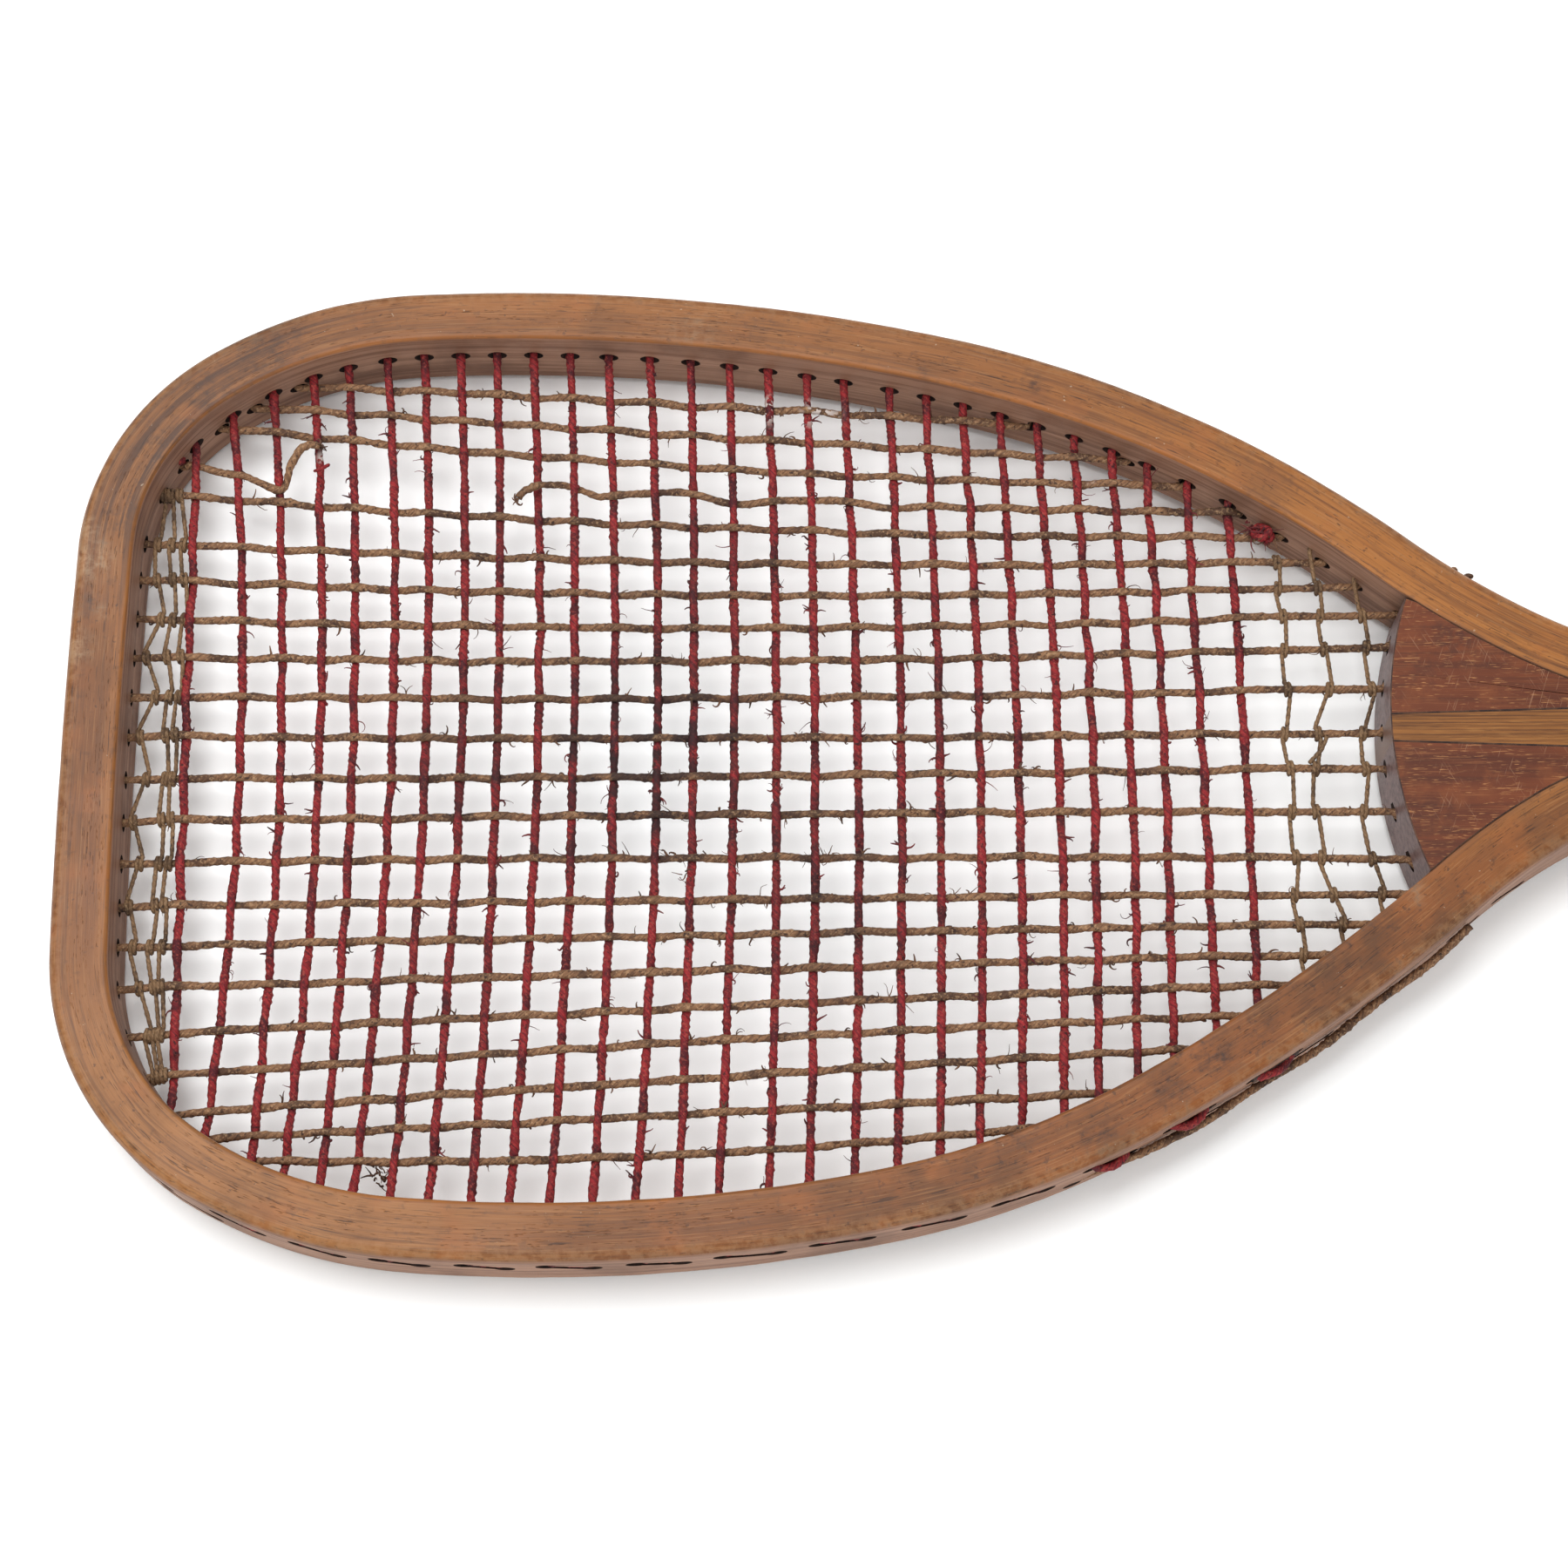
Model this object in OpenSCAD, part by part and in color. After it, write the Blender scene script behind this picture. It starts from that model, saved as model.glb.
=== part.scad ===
// Lawn tennis racket of the 1880s: a lopsided ash hoop strung with brown and red gut.
// It lies flat: +X runs from the crown of the head to the butt, +Z is square to the strings.
// The origin is under the middle of its bounding box, on the surface that it rests on.

/* [Racket] */
// Length from the crown of the head to the end of the handle
overall_length = 686; // [670:1:700]

/* [Frame] */
// Width of the bent frame, in the plane of the strings
frame_width = 12; // [11:0.5:13]
// Depth of the bent frame, square to the strings
frame_depth = 18; // [16:0.5:20]
// Radius along the outer edges of the frame
frame_edge = 2; // [1:0.5:3]
// Radius along the inner edges of the frame
inner_edge = 1; // [0.5:0.5:2]
// Radius along the outer edges where the frame runs into the handle
shoulder_edge = 2.5; // [2:0.5:6]

/* [Throat] */
// Gap between the two legs of the frame along the handle
leg_gap = 4; // [3:0.5:6]
// Width of the pale centre strip at the bow face of the throat wedge
strip_front = 6; // [4:0.5:8]
// Width that the centre strip widens to inside the wedge
strip_back = 9; // [6:0.5:10]
// Where the bow face crosses the handle's axis
bow_x = 125.5; // [124:0.5:127]
// Radius of the convex bow face
bow_radius = 88; // [80:1:110]

/* [Strings] */
// Diameter of the brown main strings
main_d = 1.8; // [1.4:0.1:2]
// Diameter of the red cross strings
cross_d = 2; // [1.4:0.1:2.2]
// Diameter of the thin trebling strings
treble_d = 1.1; // [0.8:0.1:1.2]
// Diameter that a string hole has beyond its string
hole_play = 0.5; // [0.3:0.1:0.8]
// Height of the outer ends of the string holes above or below the frame's middle
slot_level = 3; // [2:0.5:4]
// Height between the two ends of a slot on the outside of the frame
slot_rise = 2; // [0:0.5:2.5]

/* [Grip] */
// Length of the eight-sided grip, with its taper
grip_length = 190; // [170:5:200]
// Length of the taper at the front of the grip
grip_taper = 45; // [30:5:60]
// Width of the grip, in the plane of the strings
grip_width = 35; // [33:0.5:38]
// Thickness of the grip, square to the strings
grip_thickness = 28; // [27:0.5:30]
// Width of the cut along each corner of the grip
grip_corner = 7; // [6:0.5:8]
// Length of the leather band round the butt
band_length = 24; // [15:1:35]
// Thickness of the leather
band_thickness = 1.2; // [1:0.1:2]
// Depth of the rebate that the band lies in
band_rebate = 0.3; // [0.2:0.1:0.5]
// Diameter of the head of a brass tack
tack_head = 5; // [4:0.5:6]

/* [Hidden] */

// ---- Outline of the frame's centreline, in the plane of the strings ----
// It starts on the lower leg, heading for the crown. Each bend is [radius, turn]:
// a left turn has both positive, a right turn has both negative.
bends = [
    [84, 30.5], [140, 10],                  // lower shoulder
    [-405, -11], [-180, -18], [-350, -16],  // lower side
    [-93, -26], [-53, -57],                 // lower corner
    [-1700, -3],                            // crown
    [-50, -55], [-82, -31.5],               // upper corner
    [-400, -16.5], [-235, -12.5], [-238, -13], // upper side
    [175, 10]                               // upper shoulder, up to its closing bend
];
shaft_x = 200;      // where the lower leg starts to leave the handle
leg_y = (leg_gap + frame_width) / 2;
throat_x = 120;     // the whole throat, with its bow face, lies beyond this
ring_step = 7;      // distance between the cross-sections of the swept frame
plan_step = 1.5;    // distance between the stations that holes are placed from

// A state is [x, y, heading]. This is the state at the end of a bend.
function after(s, bend) = let (r = bend[0], h = s[2] + bend[1])
    [s[0] - r * sin(s[2]) + r * sin(h), s[1] + r * cos(s[2]) - r * cos(h), h];
// The states at the start of each bend, and the one at the end of the last
function states(list, s, k = 0) = k == len(list) ? [s]
    : concat([s], states(list, after(s, list[k]), k + 1));
open_states = states(bends, [shaft_x, -leg_y, 180]);
open_end = open_states[len(bends)];
// The closing bend brings the upper leg level, at its own height
closing_r = (open_end[1] - leg_y) / (1 - cos(open_end[2]));
all_bends = concat(bends, [[closing_r, -open_end[2]]]);
all_states = concat(open_states, [after(open_end, all_bends[len(bends)])]);

// Stations along the bends, about one step apart
function stations(step) = [
    for (k = [0:len(all_bends) - 1])
        let (b = all_bends[k], n = ceil(abs(b[0] * b[1]) * PI / 180 / step))
            for (j = [0:n - 1]) after(all_states[k], [b[0], b[1] * j / n]),
    all_states[len(all_bends)]
];
// The point beside a station, d outwards from the centreline
function beside(s, d) = [s[0] - d * sin(s[2]), s[1] + d * cos(s[2])];

plan = stations(plan_step);
crown_x = min([for (s = plan) beside(s, frame_width / 2)[0]]);
top_y = max([for (s = plan) beside(s, frame_width / 2)[1]]);
low_y = min([for (s = plan) beside(s, frame_width / 2)[1]]);
butt_x = crown_x + overall_length;
mid_x = (crown_x + butt_x) / 2;
mid_y = (top_y + low_y) / 2;
rest_z = grip_thickness / 2 + band_thickness - band_rebate;
grip_x = butt_x - grip_length;

// ---- Swept solids ----
function unit(v) = v / norm(v);
// Quads between rings of n points, and flat ends
function skin_faces(m, n) = concat(
    [[for (j = [0:n - 1]) j]],
    [[for (j = [n - 1:-1:0]) (m - 1) * n + j]],
    [for (i = [0:m - 2], j = [0:n - 1])
        [i * n + j, (i + 1) * n + j, (i + 1) * n + (j + 1) % n, i * n + (j + 1) % n]]
);
module skin(rings) {
    polyhedron([for (r = rings) each r], skin_faces(len(rings), len(rings[0])), convexity = 10);
}

// Frame section at x: a rectangle with round edges, wider ones outside at the shoulders and
// nearly sharp ones inside where it is glued to the throat
corner_angles = [0, 45, 90];
shoulder_ramp = [90, 150];  // the outer edges widen over this stretch
shaft_ramp = [200, 240];    // and narrow again over this one
joint_ramp = [112, 126];    // the inner edges sharpen over this one
joint_edge = 0.3;
function ramp(x, span) = let (t = max(0, min(1, (x - span[0]) / (span[1] - span[0])))) t * t * (3 - 2 * t);
function outer_radius(x) = frame_edge
    + (shoulder_edge - frame_edge) * ramp(x, shoulder_ramp) * (1 - ramp(x, shaft_ramp));
function inner_radius(x) = inner_edge + (joint_edge - inner_edge) * ramp(x, joint_ramp);
function corner(d, z, r, a0) = [for (a = corner_angles)
    [d + r * cos(a0 + a), z + r * sin(a0 + a)]];
function section(x) = let (
    w = frame_width / 2,
    t = frame_depth / 2,
    r = inner_radius(x),
    q = outer_radius(x)
)
    concat(corner(w - q, t - q, q, 0), corner(r - w, t - r, r, 90),
           corner(r - w, r - t, r, 180), corner(w - q, q - t, q, 270));
function frame_ring(s) = [for (p = section(s[0])) let (b = beside(s, p[0])) [b[0], b[1], p[1]]];

// A string of straight stretches through points that lie nearly in one plane. Its rings widen
// at a bend, up to a limit.
miter_limit = 1.6;
function tube_ring(path, k, r, sides) = let (
    last = len(path) - 1,
    a = unit(path[max(k, 1)] - path[max(k, 1) - 1]),
    b = unit(path[min(k, last - 1) + 1] - path[min(k, last - 1)]),
    t = unit(a + b),
    side = unit(cross(t, [0, 0, 1])),
    up = cross(side, t),
    wide = min(miter_limit, 1 / (a * t))
) [for (j = [0:sides - 1]) let (turn = 360 * j / sides)
    path[k] + r * wide * cos(turn) * side + r * sin(turn) * up];
string_sides = 6;
module string_tube(path, d) {
    skin([for (k = [0:len(path) - 1]) tube_ring(path, k, d / 2, string_sides)]);
}

// ---- String plan ----
// Height of each main string, from the top one down: at its crown end, across the middle of the
// head and at its throat end
main_left = [83.5, 78.5, 73.5, 64.5, 57.5, 46, 37.5, 28.5, 19.5, 10.5, 1.5,
    -8, -17.5, -26.5, -36, -44.5, -53.5, -63.5, -72, -79.5, -84.5, -89];
main_middle = [78, 70.5, 63, 56, 49, 41, 33.5, 26, 18.5, 10, 1,
    -7.5, -16, -25.5, -34.5, -42, -49.5, -57, -64, -71.5, -79, -87];
main_right = [74, 65.5, 59.5, 53, 47.5, 41.5, 36, 29.5, 22, 12.5, 2.5,
    -5.5, -15, -25.5, -33, -39.5, -46, -52.5, -59, -66, -75, -82];
main_middle_x = -7;
// Place along X of each cross string, from the crown on: at the upper side, the middle and the
// lower side
cross_upper = [-127.5, -120, -111.5, -103, -95.5, -87, -79, -71, -63, -55, -47, -38.5, -29.5, -20.5,
    -12, -3.5, 5, 13, 23, 31, 39, 47, 55, 63, 71, 78.5, 87, 95.5];
cross_middle = [-125, -113.5, -105, -97, -90, -82, -75, -67.5, -60, -51.5, -44, -35.5, -26.5, -19,
    -10.5, -1.5, 6.5, 15.5, 24.5, 32.5, 41, 49, 57.5, 64.5, 72.5, 79.5, 87.5, 96.5];
cross_lower = [-122.5, -115.5, -106, -99.5, -92, -85.5, -78, -70.5, -62, -54.5, -46.5, -38, -29.5, -21,
    -13, -3, 5, 14, 22.5, 31, 39, 47.5, 56, 63, 71, 78.5, 87.5, 96];
cross_middle_y = -10.5;
// Main strings that end in the throat wedge, and where their holes come out on the shoulders:
// the first three on the upper one, the others on the lower one
wedge_first = 8;
wedge_exit_x = [142.5, 148, 153.5, 151.5, 146, 141.5];
wedge_upper_exits = 3;
// The fourth main string is broken: x of its two loose ends
broken_main = 3;
stub_end_x = -107;
broken_end_x = -56;

main_z = -(main_d + cross_d) / 4;
cross_z = (main_d + cross_d) / 4;

// Frame stations split where the outline is lowest, farthest left and highest
lowest = search(1, [for (s = plan) s[2] <= 180 && s[0] < 0 ? 1 : 0])[0];
leftmost = search(1, [for (s = plan) s[2] <= 90 ? 1 : 0])[0];
highest = search(1, [for (s = plan) s[2] <= 0 ? 1 : 0])[0];
// State where the frame's inner edge crosses a line: axis 0 is x = value, axis 1 is y = value
function inner(k, axis) = beside(plan[k], -frame_width / 2)[axis];
function crossing(axis, value, from, to) = let (
    hits = [for (k = [from:to - 1])
        if ((inner(k, axis) - value) * (inner(k + 1, axis) - value) <= 0) k],
    k = hits[0],
    f = (value - inner(k, axis)) / (inner(k + 1, axis) - inner(k, axis))
) plan[k] + f * (plan[k + 1] - plan[k]);

function left_state(i) = crossing(1, main_left[i], lowest, highest);
function right_state(i) = main_right[i] > 0 ? crossing(1, main_right[i], highest, len(plan) - 1)
    : crossing(1, main_right[i], 0, lowest);
function upper_state(i) = crossing(0, cross_upper[i], leftmost, len(plan) - 1);
function lower_state(i) = crossing(0, cross_lower[i], 0, leftmost);

// Point on the convex bow face at height y
function bow_point(y) = [bow_x + bow_radius - sqrt(bow_radius * bow_radius - y * y), y];
// Outside of a shoulder at x, between two stations
function shoulder_point(x, from, to) = let (
    hits = [for (k = [from:to - 1])
        if ((outer(k)[0] - x) * (outer(k + 1)[0] - x) <= 0) k]
) outer(hits[0]);
function outer(k) = beside(plan[k], frame_width / 2);

// A hole is [mouth, exit], as points. Its exit is off the strings' level, so that it can have a slot.
function exit_z(i, z) = sign(z) * slot_level + (i % 2 == 0 ? 1 : -1) * slot_rise / 2;
function hole(mouth, exit, i, z) = [[mouth[0], mouth[1], z], [exit[0], exit[1], exit_z(i, z)]];
function frame_hole(s, i, z) = hole(beside(s, -frame_width / 2), beside(s, frame_width / 2), i, z);
function wedge_hole(i, k) = hole(bow_point(main_right[i]),
    k < wedge_upper_exits ? shoulder_point(wedge_exit_x[k], highest, len(plan) - 1)
        : shoulder_point(wedge_exit_x[k], 0, lowest), i, main_z);
function in_wedge(i) = i >= wedge_first && i < wedge_first + len(wedge_exit_x);

main_count = len(main_middle);
cross_count = len(cross_middle);
left_holes = [for (i = [0:main_count - 1]) frame_hole(left_state(i), i, main_z)];
right_holes = [for (i = [0:main_count - 1])
    in_wedge(i) ? wedge_hole(i, i - wedge_first) : frame_hole(right_state(i), i, main_z)];
upper_holes = [for (i = [0:cross_count - 1]) frame_hole(upper_state(i), i, cross_z)];
lower_holes = [for (i = [0:cross_count - 1]) frame_hole(lower_state(i), i, cross_z)];
wedge_holes = [for (i = [0:main_count - 1]) if (in_wedge(i)) right_holes[i]];

// Smooth line through three points, by the x or y (axis) of its points
function through(a, b, c, axis, v) = let (o = 1 - axis, p = a[axis], q = b[axis], r = c[axis])
    a[o] * (v - q) * (v - r) / ((p - q) * (p - r))
    + b[o] * (v - p) * (v - r) / ((q - p) * (q - r))
    + c[o] * (v - p) * (v - q) / ((r - p) * (r - q));
function main_at(i, x) = let (m = [main_middle_x, main_middle[i]])
    [x, through(left_holes[i][0], m, right_holes[i][0], 0, x), main_z];
function cross_at(i, y) = let (m = [cross_middle[i], cross_middle_y])
    [through(upper_holes[i][0], m, lower_holes[i][0], 1, y), y, cross_z];
bed_parts = 4;
// Bed of one main string from left to right, and of one cross string from the upper side to the lower
function main_bed(i) = let (a = left_holes[i][0], b = right_holes[i][0])
    [for (k = [1:bed_parts - 1]) main_at(i, a[0] + (b[0] - a[0]) * k / bed_parts)];
function cross_bed(i) = let (a = upper_holes[i][0], b = lower_holes[i][0])
    [for (k = [1:bed_parts - 1]) cross_at(i, a[1] + (b[1] - a[1]) * k / bed_parts)];
function backwards(list) = [for (k = [len(list) - 1:-1:0]) list[k]];

// Level of a string in its slot: its centre lies this far inside the frame's outer face
slot_cover = 0.1;
function slot_inset(d) = d / 2 + slot_cover;
function sunk(hole, d) = let (v = hole[1] - hole[0]) hole[1] - slot_inset(d) * unit([v[0], v[1], 0]);
function main_run(i) = concat([sunk(left_holes[i], main_d), left_holes[i][0]], main_bed(i),
    [right_holes[i][0], sunk(right_holes[i], main_d)]);
function cross_run(i) = concat([sunk(upper_holes[i], cross_d), upper_holes[i][0]], cross_bed(i),
    [lower_holes[i][0], sunk(lower_holes[i], cross_d)]);

// ---- Bores and slots ----
// A round bore from a to b, running past both ends
bore_facets = 24;
hole_past = 2;
module bore(a, b, d, past) {
    v = b - a;
    translate(a) rotate([0, acos(v[2] / norm(v)), atan2(v[1], v[0])])
        translate([0, 0, -past]) cylinder(h = norm(v) + 2 * past, d = d, $fn = bore_facets);
}
module holes(list, d) {
    for (h = list) bore(h[0], h[1], d + hole_play, hole_past);
}
// Slots outside, from each hole to the next, starting with the hole numbered first
module slots(list, d, first) {
    for (i = [first:2:len(list) - 2])
        bore(sunk(list[i], d), sunk(list[i + 1], d), d + hole_play, 0);
}
module all_holes() {
    holes(left_holes, main_d);
    holes(right_holes, main_d);
    holes(upper_holes, cross_d);
    holes(lower_holes, cross_d);
}

// ---- Sub-parts ----
module place() {
    translate([-mid_x, -mid_y, rest_z]) children();
}

module hoop() {
    line = concat([[butt_x, -leg_y, 180]], stations(ring_step), [[butt_x, leg_y, 0]]);
    color("peru") place() difference() {
        skin([for (s = line) frame_ring(s)]);
        all_holes();
        slots(left_holes, main_d, 0);
        slots(right_holes, main_d, 1);
        slots(upper_holes, cross_d, 1);
        slots(lower_holes, cross_d, 0);
    }
}

// Area between the legs, from the bow face to the butt
module between_legs() {
    low = [for (s = plan) if (s[2] > 180 && s[0] > throat_x) beside(s, -frame_width / 2)];
    up = [for (s = plan) if (s[2] < 0 && s[0] > throat_x) beside(s, -frame_width / 2)];
    gap = leg_gap / 2;
    difference() {
        polygon(concat([[butt_x, -gap], [shaft_x, -gap]], low, up, [[butt_x, gap]]));
        translate([bow_x, 0]) bow_front();
    }
}
// Everything on the crown's side of the bow face, within a bow radius of the axis
module bow_front() {
    difference() {
        translate([-bow_radius, -bow_radius]) square([2 * bow_radius, 2 * bow_radius]);
        translate([bow_radius, 0]) circle(r = bow_radius, $fn = 180);
    }
}
strip_end_x = 172;
past = 5; // how far a cutting area goes past what it cuts
module strip_area() {
    f = strip_front / 2;
    b = strip_back / 2;
    polygon([[bow_x - past, -f], [strip_end_x, -b], [butt_x + past, -b],
        [butt_x + past, b], [strip_end_x, b], [bow_x - past, f]]);
}
// Upper (side 1) or lower (side -1) half of the wedge
module wedge_half(side) {
    difference() {
        linear_extrude(frame_depth, center = true, convexity = 6) intersection() {
            difference() {
                between_legs();
                strip_area();
            }
            mirror([0, side > 0 ? 0 : 1]) translate([throat_x, 0]) square([shaft_x - throat_x, bow_radius]);
        }
        holes(wedge_holes, main_d);
    }
}
module wedge_upper() {
    color("saddlebrown") place() wedge_half(1);
}
module wedge_lower() {
    color("saddlebrown") place() wedge_half(-1);
}
module centre_strip() {
    color("burlywood") place() difference() {
        linear_extrude(frame_depth, center = true, convexity = 6) intersection() {
            between_legs();
            strip_area();
        }
        holes(wedge_holes, main_d);
    }
}

// Eight-sided section of the grip, as a ring at x
function octagon(x, w, t, c) = [for (p = [[w, t - c], [w - c, t], [c - w, t], [-w, t - c],
    [-w, c - t], [c - w, -t], [w - c, -t], [w, c - t]]) [x, p[0], p[1]]];
// The same section with every face moved outwards
function grip_ring(x, grow) = octagon(x, grip_width / 2 + grow, grip_thickness / 2 + grow,
    grip_corner + grow * (2 - sqrt(2)));
shaft_width = 2 * frame_width + leg_gap;
grip_lip = 0.4; // step from the shaft up to the front edge of the grip
band_x = butt_x - band_length;
module grip_body() {
    skin([
        octagon(grip_x, shaft_width / 2 + grip_lip, frame_depth / 2 + grip_lip, frame_edge),
        grip_ring(grip_x + grip_taper, 0),
        grip_ring(band_x, 0),
        grip_ring(band_x, -band_rebate),
        grip_ring(butt_x, -band_rebate)
    ]);
}
// Part of the grip inside a box that starts at y and z, less the tacks' holes
module grip_piece(y, z, wide, deep) {
    color("sienna") place() difference() {
        intersection() {
            grip_body();
            translate([grip_x - past, y, z]) cube([grip_length + 2 * past, wide, deep]);
        }
        tack_holes();
    }
}
module tack_holes() {
    place_tacks() cylinder(h = 2 * tack_length, d = tack_shank, center = true, $fn = bore_facets);
}
module grip_face_front() {
    grip_piece(-grip_width, frame_depth / 2, 2 * grip_width, grip_thickness);
}
module grip_face_back() {
    grip_piece(-grip_width, -frame_depth / 2 - grip_thickness, 2 * grip_width, grip_thickness);
}
module grip_side_upper() {
    grip_piece(shaft_width / 2, -frame_depth / 2, grip_width, frame_depth);
}
module grip_side_lower() {
    grip_piece(-shaft_width / 2 - grip_width, -frame_depth / 2, grip_width, frame_depth);
}

// Leather band wrapped round the butt
module butt_band() {
    color("saddlebrown") place() difference() {
        skin([for (x = [band_x, butt_x]) grip_ring(x, band_thickness - band_rebate)]);
        skin([for (x = [band_x - past, butt_x + past]) grip_ring(x, -band_rebate)]);
        tack_holes();
    }
}
// Round-headed tacks, two in each side face of the band
tack_shank = 1.4;
tack_length = 7;
tack_spacing = 12;
dome_height = 1.3;
tack_x = butt_x - band_length / 2;
tack_side = grip_width / 2 + band_thickness - band_rebate;
module place_tacks() {
    for (side = [-1, 1], dx = [-tack_spacing / 2, tack_spacing / 2])
        translate([tack_x + dx, side * tack_side, 0]) rotate([-90 * side, 0, 0]) children();
}
module tack() {
    ball = (tack_head * tack_head / 4 + dome_height * dome_height) / (2 * dome_height);
    difference() {
        translate([0, 0, dome_height - ball]) sphere(r = ball, $fn = 48);
        translate([0, 0, -2 * ball]) cube(4 * ball, center = true);
    }
    translate([0, 0, -tack_length])
        cylinder(h = tack_length + dome_height / 2, d = tack_shank, $fn = bore_facets);
}
module butt_tacks() {
    color("gold") place() place_tacks() tack();
}

// Main strings: each joins its runs through the holes, and lies in the slots outside between them
function runs(first, last, k) = k > last ? []
    : concat((k - first) % 2 == 0 ? backwards(main_run(k)) : main_run(k), runs(first, last, k + 1));
function stub(i) = concat([sunk(left_holes[i], main_d), left_holes[i][0]],
    [for (x = [-120, stub_end_x]) main_at(i, x)]);
function broken(i) = concat([for (x = [broken_end_x, -20, 20, 60]) main_at(i, x)],
    [right_holes[i][0], sunk(right_holes[i], main_d)]);
module main_string_short() {
    color("sienna") place() string_tube(concat(runs(0, 2, 0), stub(broken_main)), main_d);
}
module main_string_long() {
    color("sienna") place() string_tube(concat(broken(broken_main), runs(4, main_count - 1, 4)), main_d);
}
// Cross string: down the first run, up the next, from the crown to the throat
function cross_runs(k) = k == cross_count ? []
    : concat(k % 2 == 0 ? cross_run(k) : backwards(cross_run(k)), cross_runs(k + 1));
module cross_string() {
    color("firebrick") place() string_tube(cross_runs(0), cross_d);
}

// Trebling: thin strings hitched round one main string after another. Each row is
// [first main, [x at each main]].
throat_rows = [
    [5, [105.5, 105.5, 106, 106, 106, 105, 105.5, 105.5, 105.5, 105, 105.5, 106]],
    [6, [114, 114, 114.5, 115, 112, 111, 110.5, 111, 113, 114.5]],
    [7, [123, 123.5, 124, 121.5, 121.5, 120.5, 121.5, 123]]
];
crown_rows = [
    [4, [-134, -134.5, -134, -132.5, -135, -132.5, -135, -133,
        -135, -133, -134.5, -133, -131, -128.5, -126.5]],
    [4, [-132.5, -131.5, -130.5, -130, -130.5, -129.5, -129.5, -129,
        -129, -129, -129, -129.5, -128, -127, -125.5]],
    [4, [-130.5, -129, -128, -127.5, -127.5, -127.5, -127.5, -127.5,
        -127, -127, -127, -127, -126.5, -126, -124.5]]
];
treble_z = main_z + (main_d + treble_d) / 2;
function treble_path(row) = [for (k = [0:len(row[1]) - 1])
    let (p = main_at(row[0] + k, row[1][k])) [p[0], p[1], treble_z]];
module treble(row) {
    color("olive") place() string_tube(treble_path(row), treble_d);
}
module treble_throat_1() { treble(throat_rows[0]); }
module treble_throat_2() { treble(throat_rows[1]); }
module treble_throat_3() { treble(throat_rows[2]); }
module treble_crown_1() { treble(crown_rows[0]); }
module treble_crown_2() { treble(crown_rows[1]); }
module treble_crown_3() { treble(crown_rows[2]); }

hoop();
wedge_upper();
wedge_lower();
centre_strip();
grip_face_front();
grip_face_back();
grip_side_upper();
grip_side_lower();
butt_band();
butt_tacks();
main_string_short();
main_string_long();
cross_string();
treble_throat_1();
treble_throat_2();
treble_throat_3();
treble_crown_1();
treble_crown_2();
treble_crown_3();
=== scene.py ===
"""Looks of the lawn tennis racket: a bent ash hoop, a wedge throat, woven gut strings with their
knots and frays, and a combed grip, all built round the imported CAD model."""
import math

import bpy
import numpy as np
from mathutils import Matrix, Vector


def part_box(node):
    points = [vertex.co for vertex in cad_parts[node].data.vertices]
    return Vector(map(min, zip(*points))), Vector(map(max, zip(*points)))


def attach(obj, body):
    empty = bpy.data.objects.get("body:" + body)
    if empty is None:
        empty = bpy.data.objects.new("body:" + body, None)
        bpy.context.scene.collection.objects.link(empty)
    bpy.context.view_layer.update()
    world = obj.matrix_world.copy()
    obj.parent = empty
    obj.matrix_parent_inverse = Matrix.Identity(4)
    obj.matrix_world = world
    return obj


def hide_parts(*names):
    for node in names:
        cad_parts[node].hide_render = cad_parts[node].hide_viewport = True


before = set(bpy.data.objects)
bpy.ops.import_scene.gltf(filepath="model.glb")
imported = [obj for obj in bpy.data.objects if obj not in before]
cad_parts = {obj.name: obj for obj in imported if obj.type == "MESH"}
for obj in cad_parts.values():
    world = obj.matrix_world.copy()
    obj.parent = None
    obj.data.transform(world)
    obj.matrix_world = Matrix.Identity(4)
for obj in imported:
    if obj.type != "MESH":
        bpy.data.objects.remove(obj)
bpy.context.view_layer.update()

MM = 0.001
LIGHT = 1.45                 # how far the light is above the level at which white paper is just white
rng = np.random.default_rng(1884)

# ---- Sizes, in the plan's millimetres: x runs along the handle's axis, z from mid-depth ----
FRAME_WIDTH = 12.0
OUTER_EDGE, SHOULDER_EDGE, INNER_EDGE, JOINT_EDGE = 2.0, 2.5, 1.0, 0.3
SHOULDER_RAMP, SHAFT_RAMP, JOINT_RAMP = (90, 150), (200, 240), (112, 126)
LEG_GAP, SHAFT_X, THROAT_X = 4.0, 200.0, 120.0
STRIP_FRONT, STRIP_BACK, STRIP_END_X = 6.0, 9.0, 172.0
BOW_X, BOW_RADIUS = 125.5, 88.0
MAIN_D, CROSS_D, TREBLE_D, HOLE_PLAY = 1.8, 2.0, 1.0, 0.5
SLOT_LEVEL, SLOT_RISE, SLOT_COVER = 3.0, 2.0, 0.1
GRIP_LENGTH, GRIP_TAPER, GRIP_CORNER, GRIP_LIP = 190.0, 45.0, 7.0, 0.4
BAND_REBATE, TACK_DOME, TACK_SPACING = 0.3, 1.3, 12.0

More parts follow.
